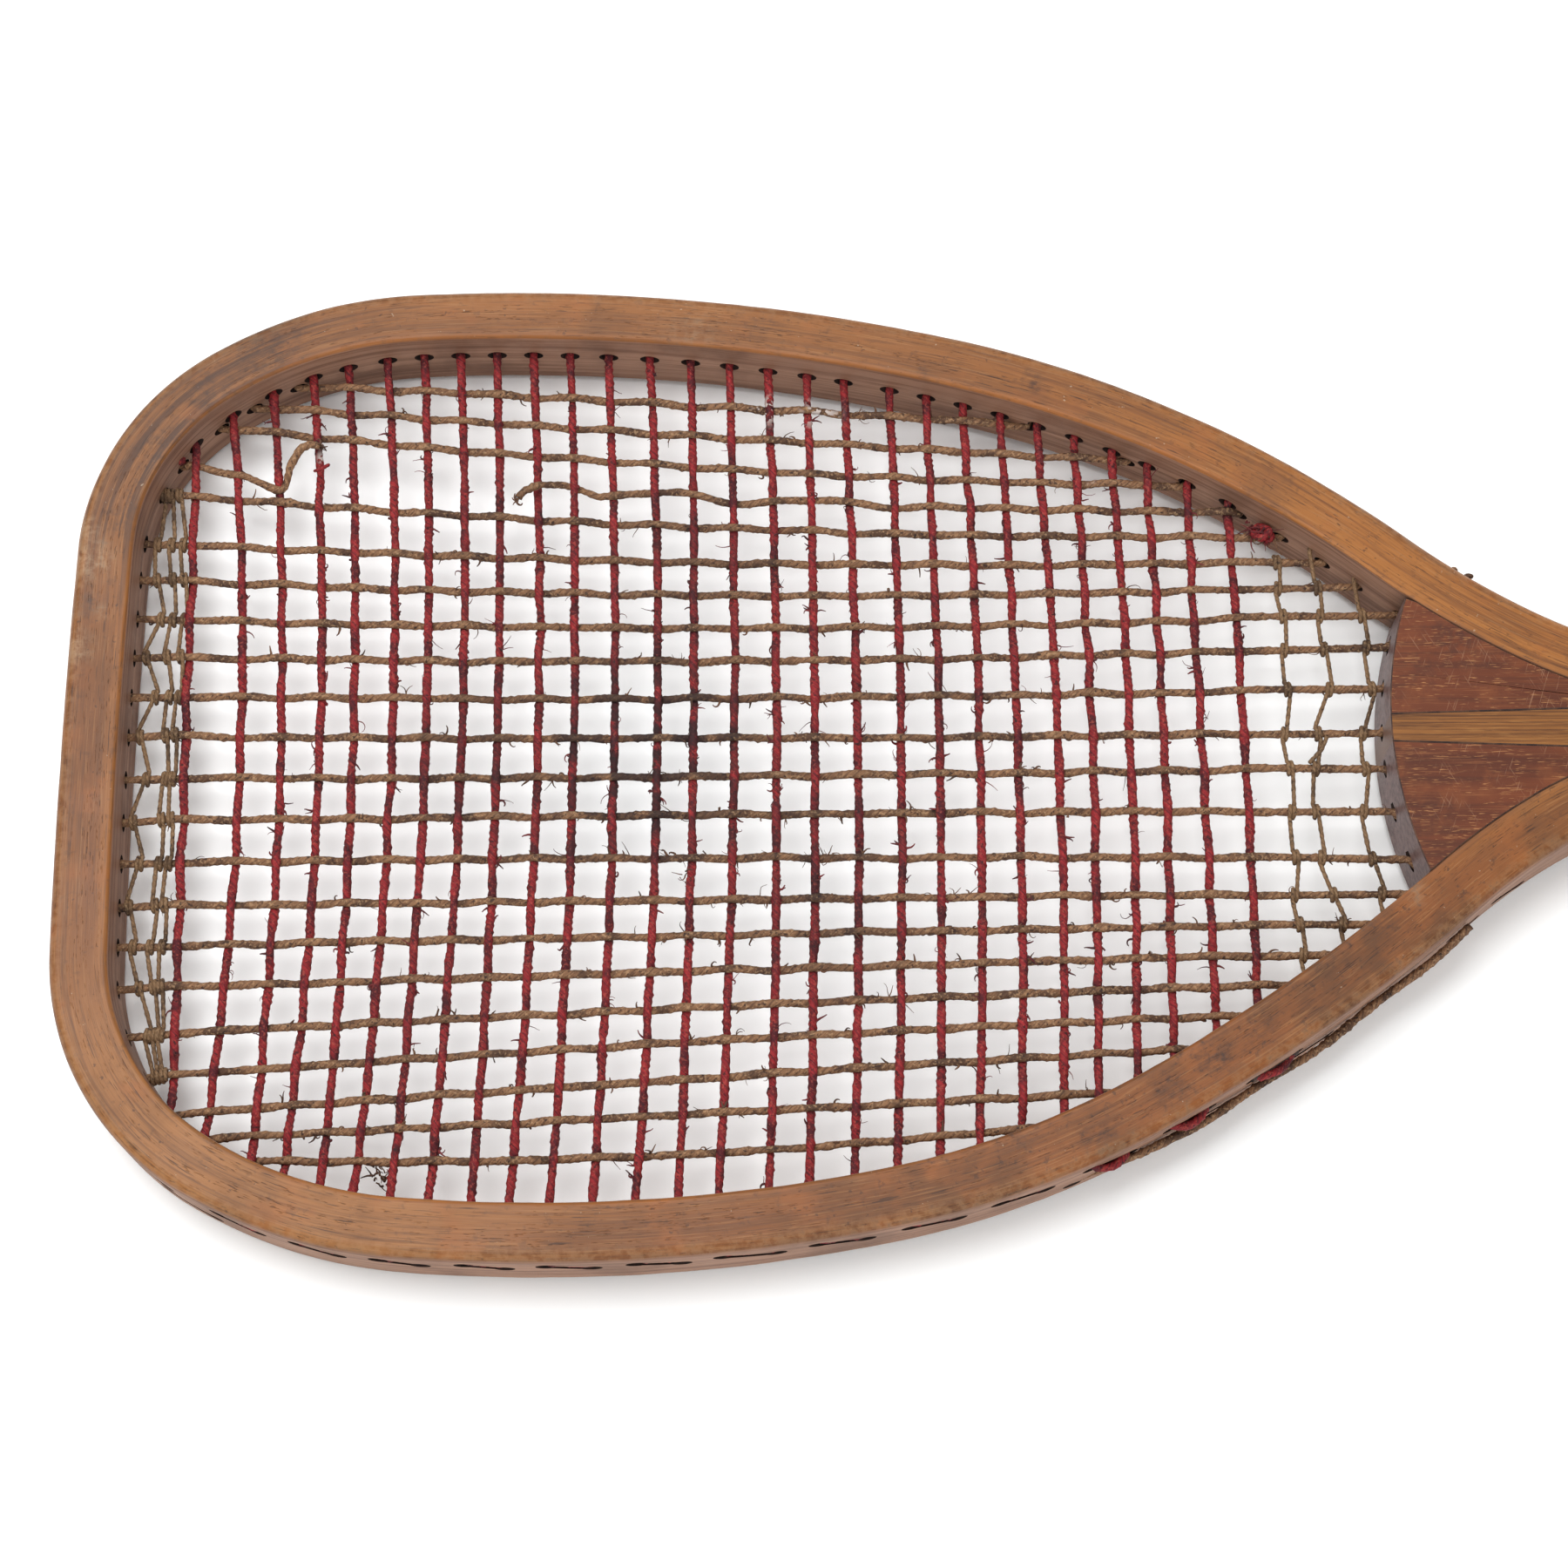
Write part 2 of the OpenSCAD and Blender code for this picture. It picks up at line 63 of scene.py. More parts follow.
hoop_low, hoop_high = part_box("hoop")
band_low, band_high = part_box("butt_band")
FRAME_DEPTH = (hoop_high.z - hoop_low.z) / MM
MID_Z = (hoop_high.z + hoop_low.z) / 2
LEG_Y = (LEG_GAP + FRAME_WIDTH) / 2
SHAFT_WIDTH = 2 * FRAME_WIDTH + LEG_GAP
BAND_LENGTH = (band_high.x - band_low.x) / MM
BAND_WIDTH = (band_high.y - band_low.y) / MM
BAND_DEPTH = (band_high.z - band_low.z) / MM
BAND_THICKNESS = 1.2
GRIP_WIDTH = BAND_WIDTH - 2 * (BAND_THICKNESS - BAND_REBATE)
GRIP_THICKNESS = BAND_DEPTH - 2 * (BAND_THICKNESS - BAND_REBATE)

# ---- Outline of the hoop's centreline, as [radius, turn in degrees] ----
BENDS = [
    (84, 30.5), (140, 10),
    (-405, -11), (-180, -18), (-350, -16),
    (-93, -26), (-53, -57),
    (-1700, -3),
    (-50, -55), (-82, -31.5),
    (-400, -16.5), (-235, -12.5), (-238, -13),
    (175, 10),
]


def after(state, radius, turn):
    """The state (x, y, heading) at the end of a bend."""
    x, y, h = state
    new = h + math.radians(turn)
    return (x - radius * math.sin(h) + radius * math.sin(new),
            y + radius * math.cos(h) - radius * math.cos(new), new)


def all_bends():
    state = (SHAFT_X, -LEG_Y, math.pi)
    for bend in BENDS:
        state = after(state, *bend)
    closing = (state[1] - LEG_Y) / (1 - math.cos(state[2]))
    return BENDS + [(closing, -math.degrees(state[2]))]


def stations(step):
    """States along the bends, about one step apart."""
    state, found = (SHAFT_X, -LEG_Y, math.pi), []
    for radius, turn in all_bends():
        n = math.ceil(abs(radius * math.radians(turn)) / step)
        found += [after(state, radius, turn * j / n) for j in range(n)]
        state = after(state, radius, turn)
    return np.array(found + [state])


def beside(states, d):
    """Points beside the states, d outwards from the centreline."""
    s = np.atleast_2d(states)
    return np.stack([s[:, 0] - d * np.sin(s[:, 2]), s[:, 1] + d * np.cos(s[:, 2])], 1)


PLAN = stations(1.5)
INNER, OUTER = beside(PLAN, -FRAME_WIDTH / 2), beside(PLAN, FRAME_WIDTH / 2)
CROWN_X = OUTER[:, 0].min()
BUTT_X = CROWN_X + (hoop_high.x - hoop_low.x) / MM
GRIP_X = BUTT_X - GRIP_LENGTH
SHIFT = np.array([hoop_low.x / MM - CROWN_X, hoop_high.y / MM - OUTER[:, 1].max(), MID_Z / MM])
TOP = FRAME_DEPTH / 2


def to_row(points):
    """Plan millimetres to metres in the row frame."""
    return (np.asarray(points, float) + SHIFT) * MM


def ramp(x, a, b):
    t = np.clip((np.asarray(x, float) - a) / (b - a), 0, 1)
    return t * t * (3 - 2 * t)


# ---- String plan, as in the CAD model ----
MAIN_LEFT = [83.5, 78.5, 73.5, 64.5, 57.5, 46, 37.5, 28.5, 19.5, 10.5, 1.5,
             -8, -17.5, -26.5, -36, -44.5, -53.5, -63.5, -72, -79.5, -84.5, -89]
MAIN_MIDDLE = [78, 70.5, 63, 56, 49, 41, 33.5, 26, 18.5, 10, 1,
               -7.5, -16, -25.5, -34.5, -42, -49.5, -57, -64, -71.5, -79, -87]
MAIN_RIGHT = [74, 65.5, 59.5, 53, 47.5, 41.5, 36, 29.5, 22, 12.5, 2.5,
              -5.5, -15, -25.5, -33, -39.5, -46, -52.5, -59, -66, -75, -82]
MAIN_MIDDLE_X = -7.0
CROSS_UPPER = [-127.5, -120, -111.5, -103, -95.5, -87, -79, -71, -63, -55, -47, -38.5, -29.5, -20.5,
               -12, -3.5, 5, 13, 23, 31, 39, 47, 55, 63, 71, 78.5, 87, 95.5]
CROSS_MIDDLE = [-125, -113.5, -105, -97, -90, -82, -75, -67.5, -60, -51.5, -44, -35.5, -26.5, -19,
                -10.5, -1.5, 6.5, 15.5, 24.5, 32.5, 41, 49, 57.5, 64.5, 72.5, 79.5, 87.5, 96.5]
CROSS_LOWER = [-122.5, -115.5, -106, -99.5, -92, -85.5, -78, -70.5, -62, -54.5, -46.5, -38, -29.5, -21,
               -13, -3, 5, 14, 22.5, 31, 39, 47.5, 56, 63, 71, 78.5, 87.5, 96]
CROSS_MIDDLE_Y = -10.5
WEDGE_FIRST, WEDGE_EXIT_X, WEDGE_UPPER = 8, [142.5, 148, 153.5, 151.5, 146, 141.5], 3
BROKEN = 3
MAIN_Z = -(MAIN_D + CROSS_D) / 4
CROSS_Z = -MAIN_Z
MAIN_WEAVE, CROSS_WEAVE = 0.62, 0.84      # how far a string rises or falls at a crossing

lowest = int(np.argmax((PLAN[:, 2] <= math.pi) & (PLAN[:, 0] < 0)))
leftmost = int(np.argmax(PLAN[:, 2] <= math.pi / 2))
highest = int(np.argmax(PLAN[:, 2] <= 0))
last = len(PLAN) - 1


def crossing(axis, value, start, end):
    """State where the hoop's inner edge crosses x = value (axis 0) or y = value (axis 1)."""
    v = INNER[start:end + 1, axis] - value
    k = start + int(np.argmax(v[:-1] * v[1:] <= 0))
    f = (value - INNER[k, axis]) / (INNER[k + 1, axis] - INNER[k, axis])
    return PLAN[k] + f * (PLAN[k + 1] - PLAN[k])


def outside_at(x, start, end):
    v = OUTER[start:end + 1, 0] - x
    return OUTER[start + int(np.argmax(v[:-1] * v[1:] <= 0))]


def bow_point(y):
    return np.array([BOW_X + BOW_RADIUS - math.sqrt(BOW_RADIUS ** 2 - y ** 2), y])


def hole(mouth, way_out, i, z):
    level = math.copysign(SLOT_LEVEL, z) + (1 if i % 2 == 0 else -1) * SLOT_RISE / 2
    return np.array([[mouth[0], mouth[1], z], [way_out[0], way_out[1], level]])


def frame_hole(state, i, z):
    return hole(beside(state, -FRAME_WIDTH / 2)[0], beside(state, FRAME_WIDTH / 2)[0], i, z)


def right_hole(i):
    k = i - WEDGE_FIRST
    in_wedge = 0 <= k < len(WEDGE_EXIT_X)
    on_top = k < WEDGE_UPPER if in_wedge else MAIN_RIGHT[i] > 0
    span = (highest, last) if on_top else (0, lowest)
    if in_wedge:
        return hole(bow_point(MAIN_RIGHT[i]), outside_at(WEDGE_EXIT_X[k], *span), i, MAIN_Z)
    return frame_hole(crossing(1, MAIN_RIGHT[i], *span), i, MAIN_Z)


MAINS, CROSSES = range(len(MAIN_MIDDLE)), range(len(CROSS_MIDDLE))
left_holes = [frame_hole(crossing(1, MAIN_LEFT[i], lowest, highest), i, MAIN_Z) for i in MAINS]
right_holes = [right_hole(i) for i in MAINS]
upper_holes = [frame_hole(crossing(0, CROSS_UPPER[i], leftmost, last), i, CROSS_Z) for i in CROSSES]
lower_holes = [frame_hole(crossing(0, CROSS_LOWER[i], 0, leftmost), i, CROSS_Z) for i in CROSSES]
wedge_holes = right_holes[WEDGE_FIRST:WEDGE_FIRST + len(WEDGE_EXIT_X)]


def sunk(h, d):
    """Where a string's centre lies at the outer end of its hole, inside the slot."""
    v = h[1] - h[0]
    flat = np.array([v[0], v[1], 0]) / math.hypot(v[0], v[1])
    return h[1] - (d / 2 + SLOT_COVER) * flat


def through(points, axis, v):
    """The smooth line through three points, by their x or y (axis)."""
    (p, a), (q, b), (r, c) = [(point[axis], point[1 - axis]) for point in points]
    return (a * (v - q) * (v - r) / ((p - q) * (p - r)) + b * (v - p) * (v - r) / ((q - p) * (q - r))
            + c * (v - p) * (v - q) / ((r - p) * (r - q)))


def main_y(i, x):
    return through([left_holes[i][0], (MAIN_MIDDLE_X, MAIN_MIDDLE[i]), right_holes[i][0]], 0, x)


def cross_x(j, y):
    return through([upper_holes[j][0], (CROSS_MIDDLE[j], CROSS_MIDDLE_Y), lower_holes[j][0]], 1, y)


CLEAR = 1.5                  # strings that meet closer than this to the frame don't weave


def meeting(i, j):
    """Where main string i and cross string j meet, or None if they don't."""
    x, y = CROSS_MIDDLE[j], MAIN_MIDDLE[i]
    for _ in range(8):
        y = main_y(i, x)
        x = cross_x(j, y)
    inside = (left_holes[i][0][0] + CLEAR < x < right_holes[i][0][0] - CLEAR
              and lower_holes[j][0][1] + CLEAR < y < upper_holes[j][0][1] - CLEAR)
    return (x, y) if inside else None


MEETINGS = {(i, j): meeting(i, j) for i in MAINS for j in CROSSES}
MEETINGS = {k: p for k, p in MEETINGS.items() if p}
JITTER = {k: rng.normal(0, 0.09, 2) for k in MEETINGS}


# ---- Paths of the strings ----
def eased(x, xs, ys):
    """Values through (xs, ys), flat at each of them."""
    k = np.clip(np.searchsorted(xs, x) - 1, 0, len(xs) - 2)
    t = (x - xs[k]) / (xs[k + 1] - xs[k])
    return ys[k] + (ys[k + 1] - ys[k]) * (1 - np.cos(np.pi * np.clip(t, 0, 1))) / 2


FINE = 0.25                  # distance between a path's points before it is softened


def main_bed(i, start=None, end=None):
    """Main string i, woven through the crosses, from left to right."""
    a, b = left_holes[i][0][0], right_holes[i][0][0]
    at = sorted((p[0], 1 if (i + j) % 2 == 0 else -1, JITTER[k, j][1])
                for (k, j), p in MEETINGS.items() if k == i)
    xs = np.array([a] + [p[0] for p in at] + [b])
    zs = np.array([MAIN_Z] + [p[1] * MAIN_WEAVE for p in at] + [MAIN_Z])
    dy = np.array([0] + [p[2] for p in at] + [0])
    a, b = (a if start is None else start), (b if end is None else end)
    x = np.linspace(a, b, max(2, int(abs(b - a) / FINE)))
    return np.stack([x, main_y(i, x) + eased(x, xs, dy), eased(x, xs, zs)], 1)


def cross_bed(j):
    """Cross string j, from the upper side to the lower."""
    a, b = upper_holes[j][0][1], lower_holes[j][0][1]
    at = sorted((p[1], -1 if (i + j) % 2 == 0 else 1, JITTER[i, k][0])
                for (i, k), p in MEETINGS.items() if k == j)
    ys = np.array([b] + [p[0] for p in at] + [a])
    zs = np.array([CROSS_Z] + [p[1] * CROSS_WEAVE for p in at] + [CROSS_Z])
    dx = np.array([0] + [p[2] for p in at] + [0])
    y = np.linspace(a, b, int(abs(b - a) / FINE))
    return np.stack([cross_x(j, y) + eased(y, ys, dx), y, eased(y, ys, zs)], 1)


def fine(points):
    """Straight stretches between the points, cut into fine steps."""
    points = np.asarray(points, float)
    s = np.concatenate([[0], np.cumsum(np.linalg.norm(np.diff(points, axis=0), axis=1))])
    keep = np.concatenate([[True], np.diff(s) > 1e-6])
    s, points = s[keep], points[keep]
    t = np.linspace(0, s[-1], max(4, int(s[-1] / FINE)))
    return np.stack([np.interp(t, s, points[:, k]) for k in range(3)], 1)


def soften(path, window=1.6):
    """The path with its corners rounded over a window of so many millimetres."""
    path = fine(path)
    n = max(1, int(window / FINE / 2))
    w = np.hanning(2 * n + 3)[1:-1]
    w /= w.sum()
    padded = np.concatenate([np.repeat(path[:1], n, 0), path, np.repeat(path[-1:], n, 0)])
    return np.stack([np.convolve(padded[:, k], w, "valid") for k in range(3)], 1)


def resample(path, step):
    s = np.concatenate([[0], np.cumsum(np.linalg.norm(np.diff(path, axis=0), axis=1))])
    t = np.linspace(0, s[-1], max(4, int(s[-1] / step)))
    return np.stack([np.interp(t, s, path[:, k]) for k in range(3)], 1)


def main_run(i):
    return np.concatenate([[sunk(left_holes[i], MAIN_D)], main_bed(i), [sunk(right_holes[i], MAIN_D)]])


def cross_run(j):
    return np.concatenate([[sunk(upper_holes[j], CROSS_D)], cross_bed(j), [sunk(lower_holes[j], CROSS_D)]])


def in_turn(runs):
    """Runs joined end to end, every second one backwards."""
    return np.concatenate([r if k % 2 == 0 else r[::-1] for k, r in enumerate(runs)])


LINK_PROUD = 2.1             # how far a slack link bows out of its slot


def proud_link(j):
    """The slack link outside the lower shoulder between cross strings j and j + 1."""
    a, b = sunk(lower_holes[j], CROSS_D), sunk(lower_holes[j + 1], CROSS_D)
    way = (lower_holes[j][1] - lower_holes[j][0]) * [1, 1, 0]
    way /= np.linalg.norm(way)
    return np.array([a + (b - a) * f + way * LINK_PROUD * math.sin(math.pi * f) ** 0.6
                     for f in (0.15, 0.35, 0.5, 0.65, 0.85)])


# ---- Meshes ----
def new_piece(name, points, faces, materials, smooth=True, uvs=None):
    """A mesh object from plan millimetres. uvs holds one (u, v) for each corner of each face."""
    mesh = bpy.data.meshes.new(name)
    mesh.from_pydata(to_row(points).tolist(), [], [list(map(int, f)) for f in faces])
    if uvs is not None:
        mesh.uv_layers.new(name="run").data.foreach_set("uv", np.asarray(uvs, np.float32).ravel())
    for m in materials:
        mesh.materials.append(m)
    mesh.update()
    if smooth:
        mesh.shade_smooth()
    piece = bpy.data.objects.new(name, mesh)
    bpy.context.scene.collection.objects.link(piece)
    return piece


def declare(piece, node):
    """Tells the frame which body the piece rides on and which CAD node it replaces."""
    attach(piece, "root")
    if node:
        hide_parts(node)


def no_map(faces):
    """A map of zeros, for faces whose material needs none."""
    return np.zeros((sum(len(f) for f in faces), 2))


def corner_map(along, across, faces):
    """The map of each face's corners from that of the points."""
    return np.stack([along, across], 1)[np.concatenate([np.ravel(f) for f in faces])]


def skin(rings, closed_ends=True):
    """Points and faces of a sleeve over rings, with its faces outwards and flat ends."""
    m, n = rings.shape[:2]
    i, j = np.meshgrid(np.arange(m - 1), np.arange(n), indexing="ij")
    i, j = i.ravel(), j.ravel()
    nxt = (j + 1) % n
    quads = np.stack([i * n + j, i * n + nxt, (i + 1) * n + nxt, (i + 1) * n + j], 1)
    points = rings.reshape(-1, 3)
    p = points - points.mean(0)
    volume = (np.cross(p[quads[:, 0]], p[quads[:, 1]]) * p[quads[:, 2]]).sum() \
        + (np.cross(p[quads[:, 0]], p[quads[:, 2]]) * p[quads[:, 3]]).sum()
    flip = volume < 0
    quads = quads[:, ::-1] if flip else quads
    faces = quads.tolist()
    if closed_ends:
        first, end = list(range(n)), list(range((m - 1) * n, m * n))
        faces += [first, end[::-1]] if flip else [first[::-1], end]
    return points, faces, flip


def join(parts):
    """Several (points, faces, uvs) as one."""
    points, faces, uvs, base = [], [], [], 0
    for p, f, uv in parts:
        points.append(p)
        faces += [[k + base for k in face] for face in f]
        uvs.append(uv)
        base += len(p)
    return np.concatenate(points), faces, np.concatenate(uvs)


def wander(n, step, length, size):
    """A smooth random walk: n values, step apart, that change over about so long a length."""
    knots = rng.normal(0, size, int(n * step / length) + 3)
    t = np.arange(n) * step / length
    k = t.astype(int)
    f = t - k
    f = f * f * (3 - 2 * f)
    return knots[k] * (1 - f) + knots[k + 1] * f


def twisted(path, d, pitch, step, sides=12, lobes=3, depth=0.09, rough=0.08, flat=1.0, taper=0.0):
    """Tube of a twisted string along a path: points, faces and (length, turn) at each corner."""
    path = resample(path, step)
    m = len(path)
    t = np.gradient(path, axis=0)
    t /= np.linalg.norm(t, axis=1)[:, None]
    side = np.cross(t, [0, 0, 1.0])
    size = np.linalg.norm(side, axis=1)[:, None]
    side = np.where(size > 0.05, side / np.maximum(size, 1e-9), [1.0, 0, 0])
    up = np.cross(side, t)
    s = np.concatenate([[0], np.cumsum(np.linalg.norm(np.diff(path, axis=0), axis=1))])
    turn = np.linspace(0, 2 * np.pi, sides, endpoint=False)
    phase = 2 * np.pi * s / pitch
    r = d / 2 * (1 - depth + depth * np.cos(lobes * (turn[None] - phase[:, None])))
    r = r * (1 + wander(m, step, 1.6, rough))[:, None] * (1 + rng.normal(0, rough * 0.6, (m, sides)))
    if taper:
        r = r * np.clip(np.minimum(s, s[-1] - s) / taper + 0.45, 0, 1)[:, None]
    rings = path[:, None] + side[:, None] * (r * np.cos(turn))[..., None] \
        + up[:, None] * (r * flat * np.sin(turn))[..., None]
    points, faces, flip = skin(rings)
    i, j = np.meshgrid(np.arange(m - 1), np.arange(sides), indexing="ij")
    i, j = i.ravel(), j.ravel()
    corners = [(i, j), (i, j + 1), (i + 1, j + 1), (i + 1, j)]
    corners = corners[::-1] if flip else corners
    uv = np.stack([np.stack([s[a] * MM, b / sides - s[a] / pitch], 1) for a, b in corners], 1).reshape(-1, 2)
    ends = np.concatenate([np.tile([0, 0], (sides, 1)), np.tile([s[-1] * MM, 0], (sides, 1))])
    return points, faces, np.concatenate([uv, ends])


def hair(start, direction, length, radius, curl):
    """One loose curly fibre: points, faces and uvs."""
    n, sides = 9, 5
    p, d = np.array(start, float), np.array(direction, float)
    d /= np.linalg.norm(d)
    axis = rng.normal(0, 1, 3)
    axis /= np.linalg.norm(axis)
    path = [p]
    for _ in range(n - 1):
        d = d + np.cross(axis, d) * curl / n + rng.normal(0, 0.10, 3)
        d /= np.linalg.norm(d)
        p = p + d * length / (n - 1)
        path.append(p)
    path = np.array(path)
    t = np.gradient(path, axis=0)
    t /= np.linalg.norm(t, axis=1)[:, None]
    side = np.cross(t, [0.31, 0.22, 0.93])
    side /= np.linalg.norm(side, axis=1)[:, None]
    up = np.cross(side, t)
    r = radius * np.linspace(1, 0.35, n)
    turn = np.linspace(0, 2 * np.pi, sides, endpoint=False)
    rings = path[:, None] + r[:, None, None] * (side[:, None] * np.cos(turn)[:, None]
                                                + up[:, None] * np.sin(turn)[:, None])
    points, faces, _ = skin(rings)
    return points, faces, no_map(faces) + [0.0, rng.random()]


# ---- Materials ----
def colour(r, g, b, light=LIGHT):
    """A display colour of 0 to 255 as the linear one that nodes take, allowing for the light's level."""
    lin = [(c / 255 / 12.92) if c <= 10.31 else ((c / 255 + 0.055) / 1.055) ** 2.4 for c in (r, g, b)]
    return (*[c / light for c in lin], 1.0)


class Look:
    """A procedural material, built node by node: self.base is its colour so far."""

    def __init__(self, name, roughness=0.6, **sockets):
        self.material = bpy.data.materials.new(name)
        self.material.use_nodes = True
        self.tree = self.material.node_tree
        self.shader = self.tree.nodes["Principled BSDF"]
        self.shader.inputs["Roughness"].default_value = roughness
        for socket, value in sockets.items():
            self.shader.inputs[socket.replace("_", " ")].default_value = value
        coords = self.tree.nodes.new("ShaderNodeTexCoord").outputs
        self.at, self.normal = coords["Object"], coords["Normal"]
        self.base = None

    def put(self, socket, value):
        if isinstance(value, bpy.types.NodeSocket):
            self.tree.links.new(value, socket)
        elif value is not None:
            socket.default_value = value

    def node(self, kind, out=0, settings=None, **inputs):
        n = self.tree.nodes.new("ShaderNode" + kind)
        for key, value in (settings or {}).items():
            setattr(n, key, value)
        for key, value in inputs.items():
            self.put(n.inputs[int(key[1:])] if key[0] == "_" else n.inputs[key], value)
        return n.outputs[out]

    def math(self, op, a, b=0.0):
        return self.node("Math", settings={"operation": op}, _0=a, _1=b)

    def add(self, a, b):
        return self.math("ADD", a, b)

    def minus(self, a, b):
        return self.math("SUBTRACT", a, b)

    def times(self, a, *factors):
        for f in factors:
            a = self.math("MULTIPLY", a, f)
        return a

    def split(self, vector):
        """A vector's x, y and z, as sockets."""
        n = self.tree.nodes.new("ShaderNodeSeparateXYZ")
        self.tree.links.new(vector, n.inputs[0])
        return n.outputs

    def run(self):
        """The map that follows a piece: length and turn or width, as sockets."""
        uv = self.tree.nodes.new("ShaderNodeUVMap")
        uv.uv_map = "run"
        return self.split(uv.outputs[0])

    def noise(self, scale, detail=3.0, rough=0.5, distortion=0.0, at=None):
        return self.node("TexNoise", Vector=self.at if at is None else at, Scale=scale, Detail=detail,
                         Roughness=rough, Distortion=distortion)

    def grain(self, length, width, detail=3.0, rough=0.55, distortion=0.0, at=None):
        """Noise drawn out along x, with features about so long and so wide."""
        fit = self.node("VectorMath", settings={"operation": "MULTIPLY"}, _0=self.at if at is None else at,
                        _1=(1 / length, 1 / width, 1 / width))
        return self.noise(1.0, detail, rough, distortion, at=fit)

    def step(self, value, low, high):
        """0 at low and 1 at high, smooth between, and also where low is above high."""
        n = self.tree.nodes.new("ShaderNodeMapRange")
        n.interpolation_type = "SMOOTHSTEP"
        self.put(n.inputs["Value"], value)
        for socket, v in zip(("From Min", "From Max", "To Min", "To Max"), (low, high, 0.0, 1.0)):
            n.inputs[socket].default_value = v
        return n.outputs[0]

    def mix(self, factor, a, b):
        n = self.tree.nodes.new("ShaderNodeMix")
        n.data_type, n.clamp_factor = "RGBA", True
        for k, value in ((0, factor), (6, a), (7, b)):
            self.put(n.inputs[k], value)
        return n.outputs[2]

    def between(self, factor, a, b):
        """Display colour a where the factor is 0 and b where it is 1."""
        return self.mix(factor, colour(*a), colour(*b))

    def coat(self, over, *factors):
        """Covers the base with a display colour or a socket, as far as the factors' product says."""
        if isinstance(over, tuple):
            over = colour(*over)
        self.base = self.mix(self.times(*factors), self.base, over)

    def near(self, spots):
        """Factor that is 1 at the spots (x, y, radius, strength in plan millimetres), 0 away."""
        x, y = self.split(self.at)[:2]
        total = None
        for px, py, radius, strength in spots:
            dx, dy = self.minus(x, plan_x(px)), self.minus(y, plan_y(py))
            d = self.math("SQRT", self.add(self.times(dx, dx), self.times(dy, dy)))
            f = self.times(self.step(d, radius * MM, radius * MM * 0.15), strength)
            total = f if total is None else self.math("MAXIMUM", total, f)
        return total

    def flank(self, low, high):
        """Factor that is 1 on faces that stand upright, 0 on flat ones."""
        up = self.node("SeparateXYZ", out=2, Vector=self.normal)
        return self.step(self.math("ABSOLUTE", up), low, high)

    def finish(self, height=None, strength=0.4, distance=0.0004, roughness=None):
        self.put(self.shader.inputs["Base Color"], self.base)
        self.put(self.shader.inputs["Roughness"], roughness)
        if height is not None:
            bump = self.node("Bump", Height=height, Strength=strength, Distance=distance)
            self.put(self.shader.inputs["Normal"], bump)
        return self.material


def plan_x(x):
    return (x + SHIFT[0]) * MM


def plan_y(y):
    return (y + SHIFT[1]) * MM


DARK_SPOTS = [(-113, 88, 14, 0.9), (-124, 78, 10, 0.8), (-132, 63, 13, 0.8), (-139, 48, 9, 0.6),
              (-146, 28, 5, 0.9), (54, 79.5, 4, 1.0), (-6, 95.5, 8, 0.45), (45, -83.6, 9, 0.85),
              (63, -87, 7, 0.9), (77, -77, 7, 0.9), (86, -70, 8, 1.0), (94, -64, 7, 0.7), (110, -47, 9, 0.6),
              (120, -42, 6, 0.6), (30, 81, 4, 0.5)]
PALE_SPOTS = [(-146, 38, 7, 0.9), (-148, 18, 6, 0.8), (-148, 45, 5, 0.7), (-143, 26, 3, 0.6),
              (-20, 92, 9, 0.35), (128, -36, 4, 0.5)]
GRIMY_SPOTS = [(-30, -2, 42, 1.0), (-62, -4, 30, 0.7), (10, -30, 34, 0.6), (-20, 40, 30, 0.5),
               (30, 10, 30, 0.5), (-70, -60, 24, 0.4), (-60, 50, 26, 0.4)]
PAINT_SPOTS = [(-3.4, 77, 4.5, 1.0), (8, 76.5, 6, 1.0), (66, 62, 3, 0.8), (-100, 66, 2, 1)]
SMUDGES = [(140, 20, 10, 0.9), (133, 13, 7, 0.6), (133, -20, 7, 0.4)]


